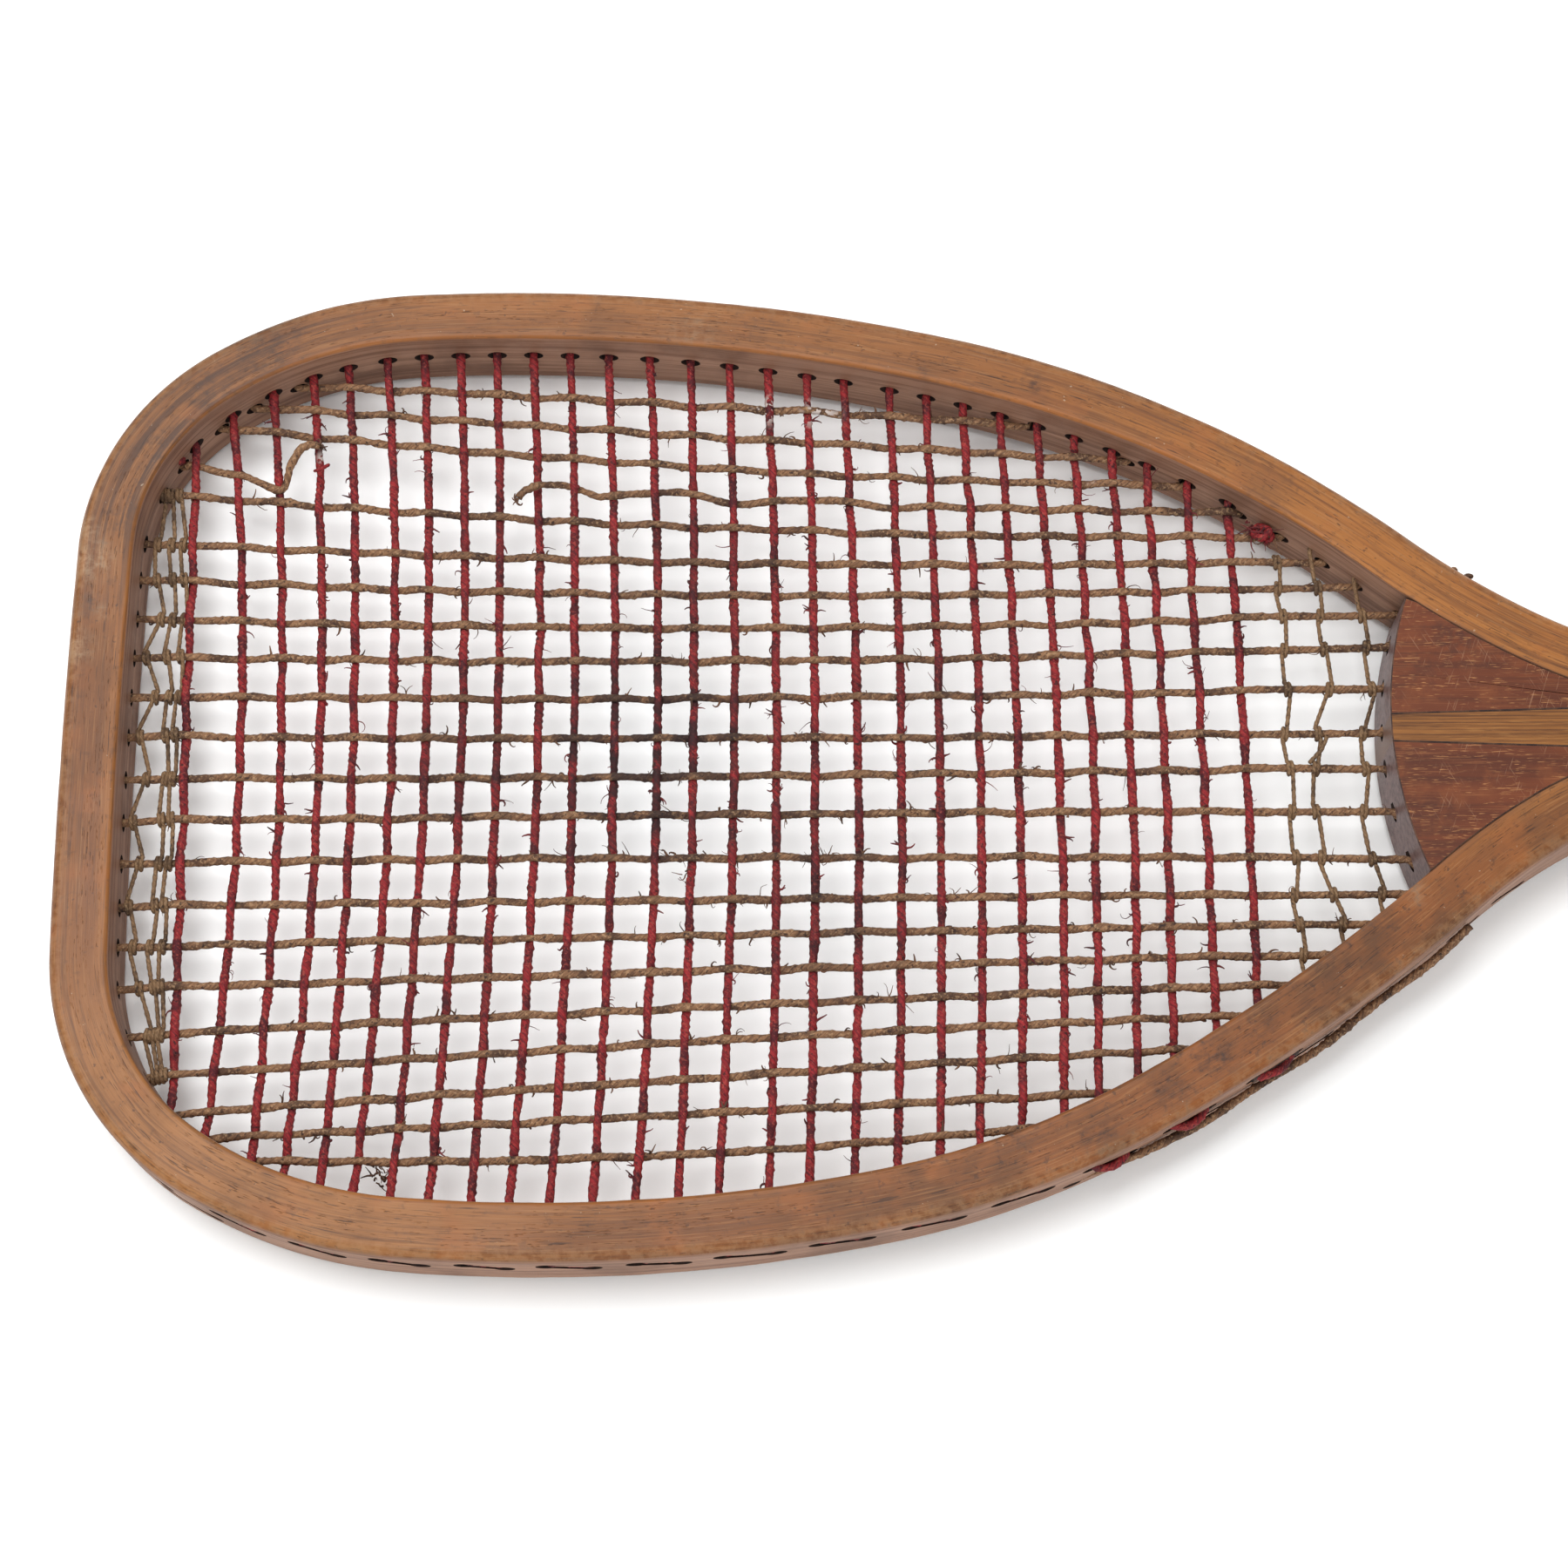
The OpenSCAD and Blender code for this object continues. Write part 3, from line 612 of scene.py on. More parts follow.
def wood_of_hoop():
    look = Look("ash_hoop", roughness=0.5, Specular_IOR_Level=0.26)
    step, times, coat = look.step, look.times, look.coat
    along, across = look.run()[:2]
    x, y, z = look.split(look.at)
    grain_at = look.node("CombineXYZ", X=along, Y=across, Z=z)

    def grain(*shape):
        return look.grain(*shape, at=grain_at)

    broad = grain(0.16, 0.009, 2, 0.5, 0.3)
    lines = grain(0.05, 0.0011, 4, 0.6, 0.35)
    fibres = grain(0.012, 0.00035, 2, 0.6)
    pores = times(step(grain(0.0022, 0.00024, 1, 0.5), 0.64, 0.72),
                  step(grain(0.05, 0.0022, 2, 0.5), 0.4, 0.58))
    blotch = look.noise(55, 4, 0.6)
    fine_blotch = look.noise(420, 4, 0.65)

    def zone(x0, x1, y0, y1):
        """Factor that grows from 0 to 1 from x0 to x1 and from y0 to y1."""
        return times(step(x, plan_x(x0), plan_x(x1)), step(y, plan_y(y0), plan_y(y1)))

    lower_shoulder = zone(-50, 65, -12, -40)
    lower_bend = zone(-30, -90, -40, -80)
    upper_bend = zone(-70, -122, 15, 62)
    look.base = look.between(step(broad, 0.3, 0.72), (156, 98, 47), (128, 77, 38))
    coat(look.between(step(lines, 0.4, 0.68), (182, 116, 54), (146, 88, 40)), zone(0, 140, -12, 8), 0.75)
    coat(look.between(step(blotch, 0.4, 0.66), (144, 84, 41), (96, 60, 35)), lower_shoulder, 0.8)
    coat(look.between(step(lines, 0.4, 0.68), (176, 119, 68), (146, 97, 55)), lower_bend, 0.7)
    coat(look.between(step(lines, 0.42, 0.62), (138, 87, 44), (82, 48, 27)), upper_bend, 0.8)
    coat((94, 60, 38), step(lines, 0.47, 0.66), look.minus(0.34, times(lower_bend, 0.2)))
    coat((182, 132, 84), step(fibres, 0.54, 0.7), 0.34)
    coat((92, 58, 36), step(fibres, 0.46, 0.3), 0.5)
    coat((168, 98, 46), step(look.noise(95, 3, 0.55), 0.53, 0.7), 0.36)
    coat((108, 72, 48), step(blotch, 0.5, 0.75), 0.45)
    coat((78, 52, 38), step(fine_blotch, 0.56, 0.7), look.add(times(lower_shoulder, 0.4), 0.3))
    stain = look.add(times(lines, 0.4), times(fine_blotch, 0.7))
    coat((72, 50, 40), look.near(DARK_SPOTS), step(stain, 0.42, 0.68), 0.72)
    coat((204, 178, 144), look.near(PALE_SPOTS), step(fine_blotch, 0.36, 0.7), 0.42)
    coat((66, 40, 26), pores, 0.7)
    checks = step(grain(0.008, 0.00036, 2, 0.5, 0.1), 0.64, 0.68)
    coat((62, 38, 26), checks, look.math("MAXIMUM", step(blotch, 0.42, 0.55), lower_bend), 0.7)
    coat((74, 48, 34), step(look.noise(620, 2, 0.5), 0.7, 0.75), 0.6)
    coat((214, 196, 170), step(look.noise(900, 2, 0.5), 0.74, 0.79), 0.4)
    coat((190, 116, 54), step(across, -0.0044, -0.0052), step(broad, 0.4, 0.6), 0.4)
    coat((196, 150, 108), step(across, 0.0022, 0.005), step(fine_blotch, 0.36, 0.62), 0.3)

    # painted reflection of the white floor: the inner and outer faces are coloured a paler, greyer pink than
    # the varnished flats, with darker blotches
    varnished, flank = look.base, look.flank(0.62, 0.28)
    look.base = look.between(step(lines, 0.36, 0.7), (182, 140, 116), (136, 98, 78))
    coat((96, 68, 56), step(blotch, 0.45, 0.7), 0.4)
    flank_reflection, look.base = look.base, varnished
    coat(flank_reflection, flank, 0.85)
    worn = times(step(look.math("ABSOLUTE", across), 0.0048, 0.0058), step(fine_blotch, 0.45, 0.65))
    coat((120, 88, 66), worn, look.flank(0.35, 0.7), 0.3)

    # dark glue line where the throat is let in
    coat((62, 36, 26), step(across, -0.00555, -0.0059), step(x, plan_x(128), plan_x(133)), 0.75)
    height = look.minus(look.add(times(lines, 0.5), times(fibres, 0.35)), times(pores, 0.8))
    rough = look.add(look.add(times(blotch, 0.22), 0.34), times(flank, 0.15))
    return look.finish(height, 0.35, 0.00025, rough)


def two_tone(name, roughness, dark, light, scale, spread, bump):
    """A plain rough material that drifts between two colours."""
    look = Look(name, roughness=roughness)
    n = look.noise(scale, 3, 0.6)
    look.base = look.between(look.step(n, *spread), dark, light)
    return look.finish(n, *bump)


def wood_of_wedge():
    look = Look("mahogany", roughness=0.42, Specular_IOR_Level=0.26)
    step, times, coat, noise, grain = look.step, look.times, look.coat, look.noise, look.grain
    lines = grain(0.03, 0.0013, 4, 0.6, 0.3)
    broad = grain(0.05, 0.008, 2, 0.5, 0.4)
    blotch = noise(130, 4, 0.62)
    look.base = look.between(step(broad, 0.35, 0.7), (118, 58, 28), (92, 43, 22))
    coat((62, 30, 20), step(lines, 0.46, 0.66), 0.42)
    coat((142, 78, 38), step(blotch, 0.5, 0.68), 0.4)
    flecks = times(step(grain(0.0024, 0.0002, 1, 0.5), 0.63, 0.7),
                   step(grain(0.016, 0.004, 2, 0.5), 0.36, 0.56))
    coat((206, 146, 92), flecks, 0.62)
    coat((176, 112, 66), step(grain(0.011, 0.00022, 2, 0.5), 0.6, 0.7), 0.35)
    for tilt, amount in ((0.35, 0.32), (-0.5, 0.24)):
        turned = look.node("VectorRotate", settings={"rotation_type": "Z_AXIS"}, Vector=look.at, Angle=tilt)
        fit = look.node("VectorMath", settings={"operation": "MULTIPLY"}, _0=turned, _1=(3600, 150, 300))
        scratch = step(noise(1.0, 1, 0.4, at=fit), 0.66, 0.72)
        coat((196, 150, 116), scratch, step(noise(110, 2, 0.5), 0.46, 0.6), amount)
    coat((52, 30, 28), look.near(SMUDGES), step(noise(380, 4, 0.6), 0.42, 0.62), 0.45)
    # painted reflection of the white floor: the upright faces are coloured greyish pink
    coat(look.between(step(lines, 0.4, 0.65), (138, 112, 108), (104, 80, 78)), look.flank(0.6, 0.3), 0.9)
    height = look.minus(times(lines, 0.5), times(flecks, 0.8))
    return look.finish(height, 0.3, 0.0002, look.add(times(blotch, 0.25), 0.3))


def wood_of_strip():
    look = Look("pale_ash", roughness=0.45, Specular_IOR_Level=0.26)
    lines = look.grain(0.05, 0.0005, 4, 0.7, 0.2)
    fibres = look.grain(0.006, 0.0003, 2, 0.6, 0.2)
    look.base = look.between(look.step(lines, 0.38, 0.66), (152, 97, 44), (92, 53, 25))
    look.coat((178, 124, 64), look.step(fibres, 0.52, 0.7), 0.45)
    look.coat((92, 54, 30), look.step(look.grain(0.004, 0.00025, 1, 0.5, 0.2), 0.67, 0.73), 0.6)
    # painted reflection of the white floor: the upright faces are coloured greyish pink
    look.coat((132, 104, 92), look.flank(0.6, 0.3), 0.8)
    return look.finish(lines, 0.3, 0.0002, look.add(look.times(fibres, 0.2), 0.34))


def gut(name, light, mid, dark, flecks, fleck_amount, dirt):
    """Twisted gut: strands that wind round the string, painted shade in the grooves between them, dark and
    pale flecks, and dirty stretches.
    """
    look = Look(name, roughness=0.72, Specular_IOR_Level=0.25)
    step, times, coat, noise = look.step, look.times, look.coat, look.noise
    along, turn = look.run()[:2]
    angle = times(turn, 2 * math.pi)
    winding = look.node("CombineXYZ", X=times(look.math("COSINE", angle), 1.6),
                        Y=times(look.math("SINE", angle), 1.6), Z=times(along, 260))
    fibre = noise(1.6, 3, 0.6, at=winding)
    grain = noise(1500, 3, 0.65)
    look.base = look.between(step(fibre, 0.36, 0.62), mid, light)
    coat(dark, step(noise(130, 4, 0.6), 0.48, 0.62), 0.78)
    # painted shade in the grooves between the twisted strands
    coat(dark, step(look.math("COSINE", times(angle, 3)), -0.55, -0.95), 0.5)
    coat(flecks, step(grain, 0.52, 0.64), fleck_amount)
    coat((36, 24, 26), step(noise(1150, 2, 0.5), 0.4, 0.32), 0.75)
    coat((44, 30, 32), look.near(GRIMY_SPOTS), step(noise(190, 4, 0.6), 0.37, 0.52), dirt)
    coat((214, 200, 192), look.near(PAINT_SPOTS), step(noise(620, 2, 0.5), 0.52, 0.56))
    return look.finish(look.add(times(fibre, 0.6), times(grain, 0.5)), 0.7, 0.0003)


def frayed(name, a, b):
    look = Look(name, roughness=0.85)
    n = look.noise(300, 2, 0.5)
    look.base = look.between(look.add(look.times(look.run()[1], 0.7), look.times(n, 0.3)), a, b)
    return look.finish(n, 0.2, 0.0001)


def wood_of_grip():
    look = Look("grip_wood", roughness=0.6, Specular_IOR_Level=0.35)
    lines = look.grain(0.07, 0.0016, 4, 0.6, 0.25)
    dirt = look.noise(60, 4, 0.6)
    broad = look.step(look.grain(0.2, 0.012, 2, 0.5, 0.25), 0.35, 0.7)
    look.base = look.between(broad, (158, 100, 62), (122, 72, 44))
    look.coat((92, 52, 32), look.step(lines, 0.44, 0.66), 0.6)
    look.coat((74, 46, 32), look.step(dirt, 0.48, 0.7), 0.5)
    # painted shade in the combed grooves
    look.coat((60, 36, 26), look.step(look.run()[1], 0.45, 0.9), 0.6)
    return look.finish(lines, 0.3, 0.0002, look.minus(0.62, look.times(look.step(dirt, 0.4, 0.7), 0.2)))


def leather():
    look = Look("leather", roughness=0.62, Specular_IOR_Level=0.4)
    cells = look.node("TexVoronoi", settings={"feature": "DISTANCE_TO_EDGE"}, Vector=look.at, Scale=900.0)
    wear = look.noise(120, 4, 0.65)
    look.base = look.between(look.step(wear, 0.38, 0.66), (104, 66, 44), (64, 38, 27))
    # painted shade in the creases between the grain's cells
    look.coat((42, 25, 19), look.step(cells, 0.12, 0.02), 0.5)
    look.coat((150, 108, 76), look.step(look.noise(300, 4, 0.7), 0.58, 0.72), 0.55)
    height = look.add(look.times(look.step(cells, 0.0, 0.15), 0.6), look.times(wear, 0.5))
    return look.finish(height, 0.5, 0.0003, look.add(look.times(wear, 0.3), 0.45))


def brass():
    look = Look("brass", roughness=0.4, Metallic=1.0)
    tarnish = look.noise(500, 4, 0.65)
    look.base = look.between(look.step(tarnish, 0.4, 0.66), (196, 152, 84), (92, 66, 40))
    return look.finish(tarnish, 0.3, 0.0001, look.add(look.times(tarnish, 0.4), 0.2))


def paper():
    look = Look("studio_floor", roughness=0.9, Specular_IOR_Level=0.1)
    look.base = look.between(look.noise(9, 2, 0.5), (249, 251, 251, 1.0), (252, 253, 253, 1.0))
    return look.finish()


HOOP_WOOD = wood_of_hoop()
# painted shade: the faces of the bores and slots cut into the wood are coloured dark brown
HOLE_SHADE = two_tone("hole_shade", 0.85, (42, 26, 20), (74, 50, 40), 700, (0.35, 0.7), (0.4, 0.0002))
WEDGE_WOOD, STRIP_WOOD = wood_of_wedge(), wood_of_strip()
GLUE = two_tone("glue_line", 0.7, (54, 34, 30), (104, 70, 50), 400, (0.35, 0.65), (0.2, 0.0001))
BROWN = gut("brown_gut", (158, 117, 84), (122, 86, 62), (70, 48, 38), (200, 162, 122), 0.55, 0.85)
RED = gut("red_gut", (166, 44, 48), (122, 28, 34), (58, 22, 30), (204, 98, 82), 0.38, 0.9)
OLIVE = gut("treble_gut", (152, 119, 86), (120, 90, 64), (76, 57, 43), (182, 150, 114), 0.45, 0.4)
BROWN_FRAY = frayed("brown_fray", (52, 34, 30), (126, 86, 58))
RED_FRAY = frayed("red_fray", (46, 22, 26), (134, 42, 44))
GRIP_WOOD, LEATHER, BRASS = wood_of_grip(), leather(), brass()


# ---- The bent hoop ----
def corner(d, z, r, start, n=6):
    a = np.radians(start + np.linspace(0, 90, n))
    return np.stack([d + r * np.cos(a), z + r * np.sin(a)], 1)


def hoop_section(x, flat=6):
    """Section of the frame at x: round corners, and points along its flats, as (d, z)."""
    w, t = FRAME_WIDTH / 2, TOP
    q = OUTER_EDGE + (SHOULDER_EDGE - OUTER_EDGE) * ramp(x, *SHOULDER_RAMP) * (1 - ramp(x, *SHAFT_RAMP))
    r = INNER_EDGE + (JOINT_EDGE - INNER_EDGE) * ramp(x, *JOINT_RAMP)
    corners = [corner(w - q, t - q, q, 0), corner(r - w, t - r, r, 90),
               corner(r - w, r - t, r, 180), corner(w - q, q - t, q, 270)]
    points = []
    for k, c in enumerate(corners):
        nxt = corners[(k + 1) % 4][0]
        between = c[-1] + (nxt - c[-1]) * np.linspace(0, 1, flat + 2)[1:-1, None]
        points += [c, between]
    return np.concatenate(points)


def hoop_line():
    """States of the whole hoop, legs and all, closer together round the head."""
    head = stations(HEAD_STEP)
    down = np.arange(BUTT_X, SHAFT_X, -4.0)
    low = np.stack([down, np.full(len(down), -LEG_Y), np.full(len(down), math.pi)], 1)
    up = np.append(np.arange(head[-1, 0] + 4, BUTT_X - 2, 4.0), BUTT_X)
    high = np.stack([up, np.full(len(up), LEG_Y), np.zeros(len(up))], 1)
    return np.concatenate([low, head, high])


HEAD_STEP = 1.5              # distance between the hoop's rings round the head


def hoop_mesh():
    line = hoop_line()
    n = len(line)
    along = np.concatenate([[0], np.cumsum(np.hypot(*np.diff(line[:, :2], axis=0).T))])
    (dents, nicks), (hollows, _) = [
        (wander(n, HEAD_STEP, 22, 0.05), wander(n, HEAD_STEP, 6, 0.03)) for _ in range(2)]
    free = 1 - ramp(line[:, 0], 116, 130)
    rings, widths = [], []
    for k, s in enumerate(line):
        pull = free[k] * np.clip(abs(dents[k]) + abs(nicks[k]), 0, 0.18) / (FRAME_WIDTH / 2)
        pull_z = np.clip(abs(hollows[k]), 0, 0.12) / TOP
        d, z = (hoop_section(s[0]) * [1 - pull, 1 - pull_z]).T
        rings.append(np.stack([s[0] - d * math.sin(s[2]), s[1] + d * math.cos(s[2]), z], 1))
        widths.append(d)
    points, faces, _ = skin(np.array(rings))
    uvs = corner_map(np.repeat(along, len(widths[0])) * MM, np.concatenate(widths) * MM, faces)
    return points, faces, uvs


def rod(a, b, radius, past=0.0, sides=20, bulge=1.0):
    """A straight rod from a to b, for cutting holes and slots."""
    a, b = np.asarray(a, float), np.asarray(b, float)
    v = (b - a) / np.linalg.norm(b - a)
    a, b = a - v * past, b + v * past
    side = np.cross(v, [0, 0, 1.0])
    side /= np.linalg.norm(side)
    up = np.cross(side, v)
    turn = np.linspace(0, 2 * np.pi, sides, endpoint=False)
    ring = radius * (bulge * np.cos(turn)[:, None] * side + np.sin(turn)[:, None] * up)
    points, faces, _ = skin(np.stack([a + ring, b + ring]))
    return points, faces, no_map(faces)


def cut(piece, rods):
    """Cuts the rods, which don't meet each other, out of the piece."""
    points, faces, uvs = join(rods)
    # the faces cut into the piece take the cutter's painted-shade material
    tool = new_piece("cutter", points, faces, [HOLE_SHADE], smooth=False, uvs=uvs)
    cutter = piece.modifiers.new("cut", "BOOLEAN")
    cutter.operation, cutter.object, cutter.solver = "DIFFERENCE", tool, "EXACT"
    bpy.context.view_layer.update()
    result = bpy.data.meshes.new_from_object(piece.evaluated_get(bpy.context.evaluated_depsgraph_get()))
    piece.modifiers.clear()
    piece.data = result
    bpy.data.objects.remove(tool)


HOLE_SLACK = 0.45            # a worn hole is this much wider than the string and its play


def hole_rods(holes, d):
    """Bores, worn wide along the hoop except in the crowded throat."""
    r = (d + HOLE_PLAY + HOLE_SLACK) / 2
    return [rod(h[0], h[1], r, past=1.5, bulge=1.0 if h[0][0] > THROAT_X else 1.45) for h in holes]


def slot_rods(holes, d, first):
    r = (d + HOLE_PLAY + HOLE_SLACK) / 2
    return [rod(sunk(holes[k], d), sunk(holes[k + 1], d), r, past=0.6)
            for k in range(first, len(holes) - 1, 2)]


def build_hoop():
    points, faces, uvs = hoop_mesh()
    hoop = new_piece("bent_hoop", points, faces, [HOOP_WOOD, HOLE_SHADE], uvs=uvs)
    cut(hoop, hole_rods(left_holes + right_holes, MAIN_D))
    cut(hoop, hole_rods(upper_holes + lower_holes, CROSS_D))
    cut(hoop, slot_rods(left_holes, MAIN_D, 0) + slot_rods(right_holes, MAIN_D, 1))
    cut(hoop, slot_rods(upper_holes, CROSS_D, 1) + slot_rods(lower_holes, CROSS_D, 0))
    hoop.data.set_sharp_from_angle(angle=math.radians(38))
    declare(hoop, "hoop")


# ---- The throat ----
def inset(outline, d):
    """An outline moved inwards by d, corner by corner."""
    prev, nxt = np.roll(outline, 1, 0), np.roll(outline, -1, 0)
    a = (outline - prev) / np.linalg.norm(outline - prev, axis=1)[:, None]
    b = (nxt - outline) / np.linalg.norm(nxt - outline, axis=1)[:, None]
    na, nb = np.stack([-a[:, 1], a[:, 0]], 1), np.stack([-b[:, 1], b[:, 0]], 1)
    area = (outline[:, 0] * nxt[:, 1] - nxt[:, 0] * outline[:, 1]).sum()
    n = na + nb
    n /= np.maximum(np.einsum("ij,ij->i", n, na), 0.5)[:, None]
    return outline + (d if area > 0 else -d) * n


CHAMFER = 0.22               # of the throat pieces' edges, where dark glue shows


def slab(name, outline, wood, node):
    """A flat throat piece between the frame's faces, with a fine dark chamfer as its glue line."""
    levels = [(-TOP, CHAMFER), (CHAMFER - TOP, 0.0), (-TOP / 3, 0.0), (TOP / 3, 0.0), (TOP - CHAMFER, 0.0),
              (TOP, CHAMFER)]
    rings = [np.column_stack([inset(outline, d), np.full(len(outline), z)]) for z, d in levels]
    points, faces, _ = skin(np.array(rings))
    piece = new_piece(name, points, faces, [wood, GLUE, HOLE_SHADE], smooth=False)
    n = len(outline)
    quads = n * (len(levels) - 1)
    for k, p in enumerate(piece.data.polygons):
        p.material_index = 1 if k < n or quads - n <= k < quads else 0
    cut(piece, hole_rods(wedge_holes, MAIN_D))
    piece.data.shade_smooth()
    piece.data.set_sharp_from_angle(angle=math.radians(25))
    declare(piece, node)


def strip_half(x):
    return np.interp(x, [BOW_X, STRIP_END_X], [STRIP_FRONT / 2, STRIP_BACK / 2])


def build_throat():
    upper = INNER[(PLAN[:, 2] < 0) & (INNER[:, 0] > THROAT_X)]
    lower = INNER[(PLAN[:, 2] > math.pi) & (INNER[:, 0] > THROAT_X)][::-1] * [1, -1]
    front_x = bow_point(STRIP_FRONT / 2)[0]
    rims = []
    for side, edge, node in ((1, upper, "wedge_upper"), (-1, lower, "wedge_lower")):
        behind_bow = edge[edge[:, 0] > [bow_point(min(y, 80.0))[0] for y in edge[:, 1]]]
        wedge = behind_bow[behind_bow[:, 1] > strip_half(behind_bow[:, 0])]
        bow = np.array([bow_point(y) for y in np.linspace(STRIP_FRONT / 2, behind_bow[0, 1], 26)])
        along = np.linspace(wedge[-1, 0] + 0.6, BOW_X, 12)[:-1]
        strip = np.column_stack([along, strip_half(along)])
        outline = np.concatenate([bow, wedge[1:], strip]) * [1, side]
        slab("throat_" + node, outline, WEDGE_WOOD, node)

        # the centre strip's own edge: along the wedge, then along the frame's inner face to the butt
        gap = edge[edge[:, 1] <= strip_half(edge[:, 0])]
        along = np.linspace(front_x, gap[0, 0], 14)[:-1]
        gap = gap[::2] if side > 0 else gap
        strip = np.column_stack([along, strip_half(along)])
        rims.append(np.concatenate([strip, gap, [[BUTT_X, LEG_GAP / 2]]]))
    bow = np.array([bow_point(y) for y in np.linspace(STRIP_FRONT / 2, -STRIP_FRONT / 2, 8)[1:-1]])
    outline = np.concatenate([rims[1] * [1, -1], rims[0][::-1], bow])
    slab("throat_strip", outline, STRIP_WOOD, "centre_strip")


# ---- The strings ----
def string_piece(name, parts, material, node):
    points, faces, uvs = join(parts)
    declare(new_piece(name, points, faces, [material], uvs=uvs), node)


STEP = 0.8                   # distance between a string's rings
MAIN_PITCH, TREBLE_PITCH = 5.5, 3.2
STUB = [(-131, 64.3, -0.9), (-128, 64.2, 0.4), (-122, 62.9, -0.9), (-116.5, 61.3, 0.9), (-111.8, 59, 0.9),
        (-108.9, 57.9, 0.4), (-107.6, 58.5, 1.2), (-106.6, 63, 2.6), (-104.6, 66.7, 3.2), (-102.4, 67.9, 3.2),
        (-100.2, 67.3, 3.0)]
LOOSE = [(-57.3, 55.4, 2.2), (-56, 57, 2.5), (-52.8, 58.5, 2.4), (-47.5, 59.1, 1.0), (-44, 58.8, -0.9)]
TAIL_SPAN = (67, 135.5)       # where along x the last main string's loose end lies


def tail():
    """The last main string's long end, which runs along the outside of the lower shoulder."""
    s = PLAN[:lowest][::-1]
    s = s[(s[:, 0] > TAIL_SPAN[0]) & (s[:, 0] < TAIL_SPAN[1])]
    u = np.linspace(0, 1, len(s))
    proud = FRAME_WIDTH / 2 + 0.95 + 0.55 * np.sin(u * 9.0) ** 2
    level = 1.4 - 3.2 * np.sin(u * math.pi) + 2.0 * u
    return np.column_stack([[beside(p, d)[0] for p, d in zip(s, proud)], level])


def main_gut(name, path, node):
    string_piece(name, [twisted(soften(path), MAIN_D, MAIN_PITCH, STEP, flat=0.93)], BROWN, node)


def build_mains():
    into_frame = [left_holes[BROKEN][0], sunk(left_holes[BROKEN], MAIN_D)]
    runs = in_turn([main_run(i) for i in (2, 1, 0)])
    main_gut("main_gut_short", np.concatenate([STUB[::-1], into_frame, runs]), "main_string_short")
    bed = main_bed(BROKEN, start=-40)
    x = bed[:, 0]
    bed[:, 1] += 1.2 * np.sin(x * 0.19) * (1 - ramp(x, -40, 70))
    loose = np.concatenate([LOOSE, bed, [sunk(right_holes[BROKEN], MAIN_D)]])
    rest = in_turn([main_run(i)[::-1] for i in range(BROKEN + 1, len(MAIN_MIDDLE))])
    main_gut("main_gut_long", np.concatenate([loose, rest, tail()]), "main_string_long")


def build_crosses():
    runs = []
    for j in CROSSES:
        runs.append(cross_run(j) if j % 2 == 0 else cross_run(j)[::-1])
        if j % 2 == 0 and CROSS_LOWER[j] > 50:
            runs.append(proud_link(j))
    path = np.concatenate(runs)
    string_piece("cross_gut", [twisted(soften(path), CROSS_D, 5.0, STEP, depth=0.12)], RED,
                 "cross_string")


THROAT_ROWS = [
    (5, [105.5, 105.5, 106, 106, 106, 105, 105.5, 105.5, 105.5, 105, 105.5, 106]),
    (6, [114, 114, 114.5, 115, 112, 111, 110.5, 111, 113, 114.5]),
    (7, [123, 123.5, 124, 121.5, 121.5, 120.5, 121.5, 123]),
]
CROWN_ROWS = [
    (4, [-134, -134.5, -134, -132.5, -135, -132.5, -135, -133,
         -135, -133, -134.5, -133, -131, -128.5, -126.5]),
    (4, [-132.5, -131.5, -130.5, -130, -130.5, -129.5, -129.5, -129,
         -129, -129, -129, -129.5, -128, -127, -125.5]),
    (4, [-130.5, -129, -128, -127.5, -127.5, -127.5, -127.5, -127.5,
         -127, -127, -127, -127, -126.5, -126, -124.5]),
]


def main_level(i, x):
    """Where main string i lies at x, as y and z."""
    return main_bed(i, start=x - 0.01, end=x + 0.01)[0, 1:]


def hitched(first, xs, before=(), beyond=()):
    """A trebling string that is hitched once round each main string it meets."""
    reach, path = (MAIN_D + TREBLE_D) / 2 - 0.1, list(before)
    for k, x in enumerate(xs):
        y, z = main_level(first + k, x)
        turns = np.radians(np.linspace(20, 520, 30))
        slide = np.linspace(-0.55, 0.55, len(turns)) * (1 if k % 2 == 0 else -1)
        path += [(x + d, y + reach * math.cos(a), z + reach * math.sin(a)) for a, d in zip(turns, slide)]
    return np.array(path + list(beyond))


def treble(path, **shape):
    return twisted(soften(path, 0.8), TREBLE_D, TREBLE_PITCH, 0.4, sides=9, lobes=2, **shape)


def build_trebles():
    rows = [("throat", k, row) for k, row in enumerate(THROAT_ROWS)]
    rows += [("crown", k, row) for k, row in enumerate(CROWN_ROWS)]
    for end, k, (first, xs) in rows:
        before, beyond = (), ()
        if end == "throat":
            if k > 0:
                x, y = beside(crossing(0, xs[0] - 1.5, highest, last), -FRAME_WIDTH / 2)[0]
                before = [(x, y + 1.0, 1.5), (x, y - 0.6, 1.2)]
            x, y = beside(crossing(0, xs[-1], 0, lowest), -FRAME_WIDTH / 2)[0]
            beyond = [(x, y + 0.8, -0.6), (x, y - 1.0, -0.8)]
        parts = [treble(hitched(first, xs, before, beyond), rough=0.04)]
        if end == "throat" and k == 1:                      # a second length between two mains
            (ay, az), (by, bz) = main_level(first + 4, xs[4] + 1.6), main_level(first + 5, xs[5] - 1.2)
            parts.append(treble([(xs[4] + 1.8, ay - 0.9, az + 0.9), (xs[4] + 0.4, (ay + by) / 2, 0.3),
                                 (xs[5] - 1.4, by + 0.9, bz + 0.9)]))
        string_piece(f"treble_{end}_row_{k + 1}", parts, OLIVE, f"treble_{end}_{k + 1}")


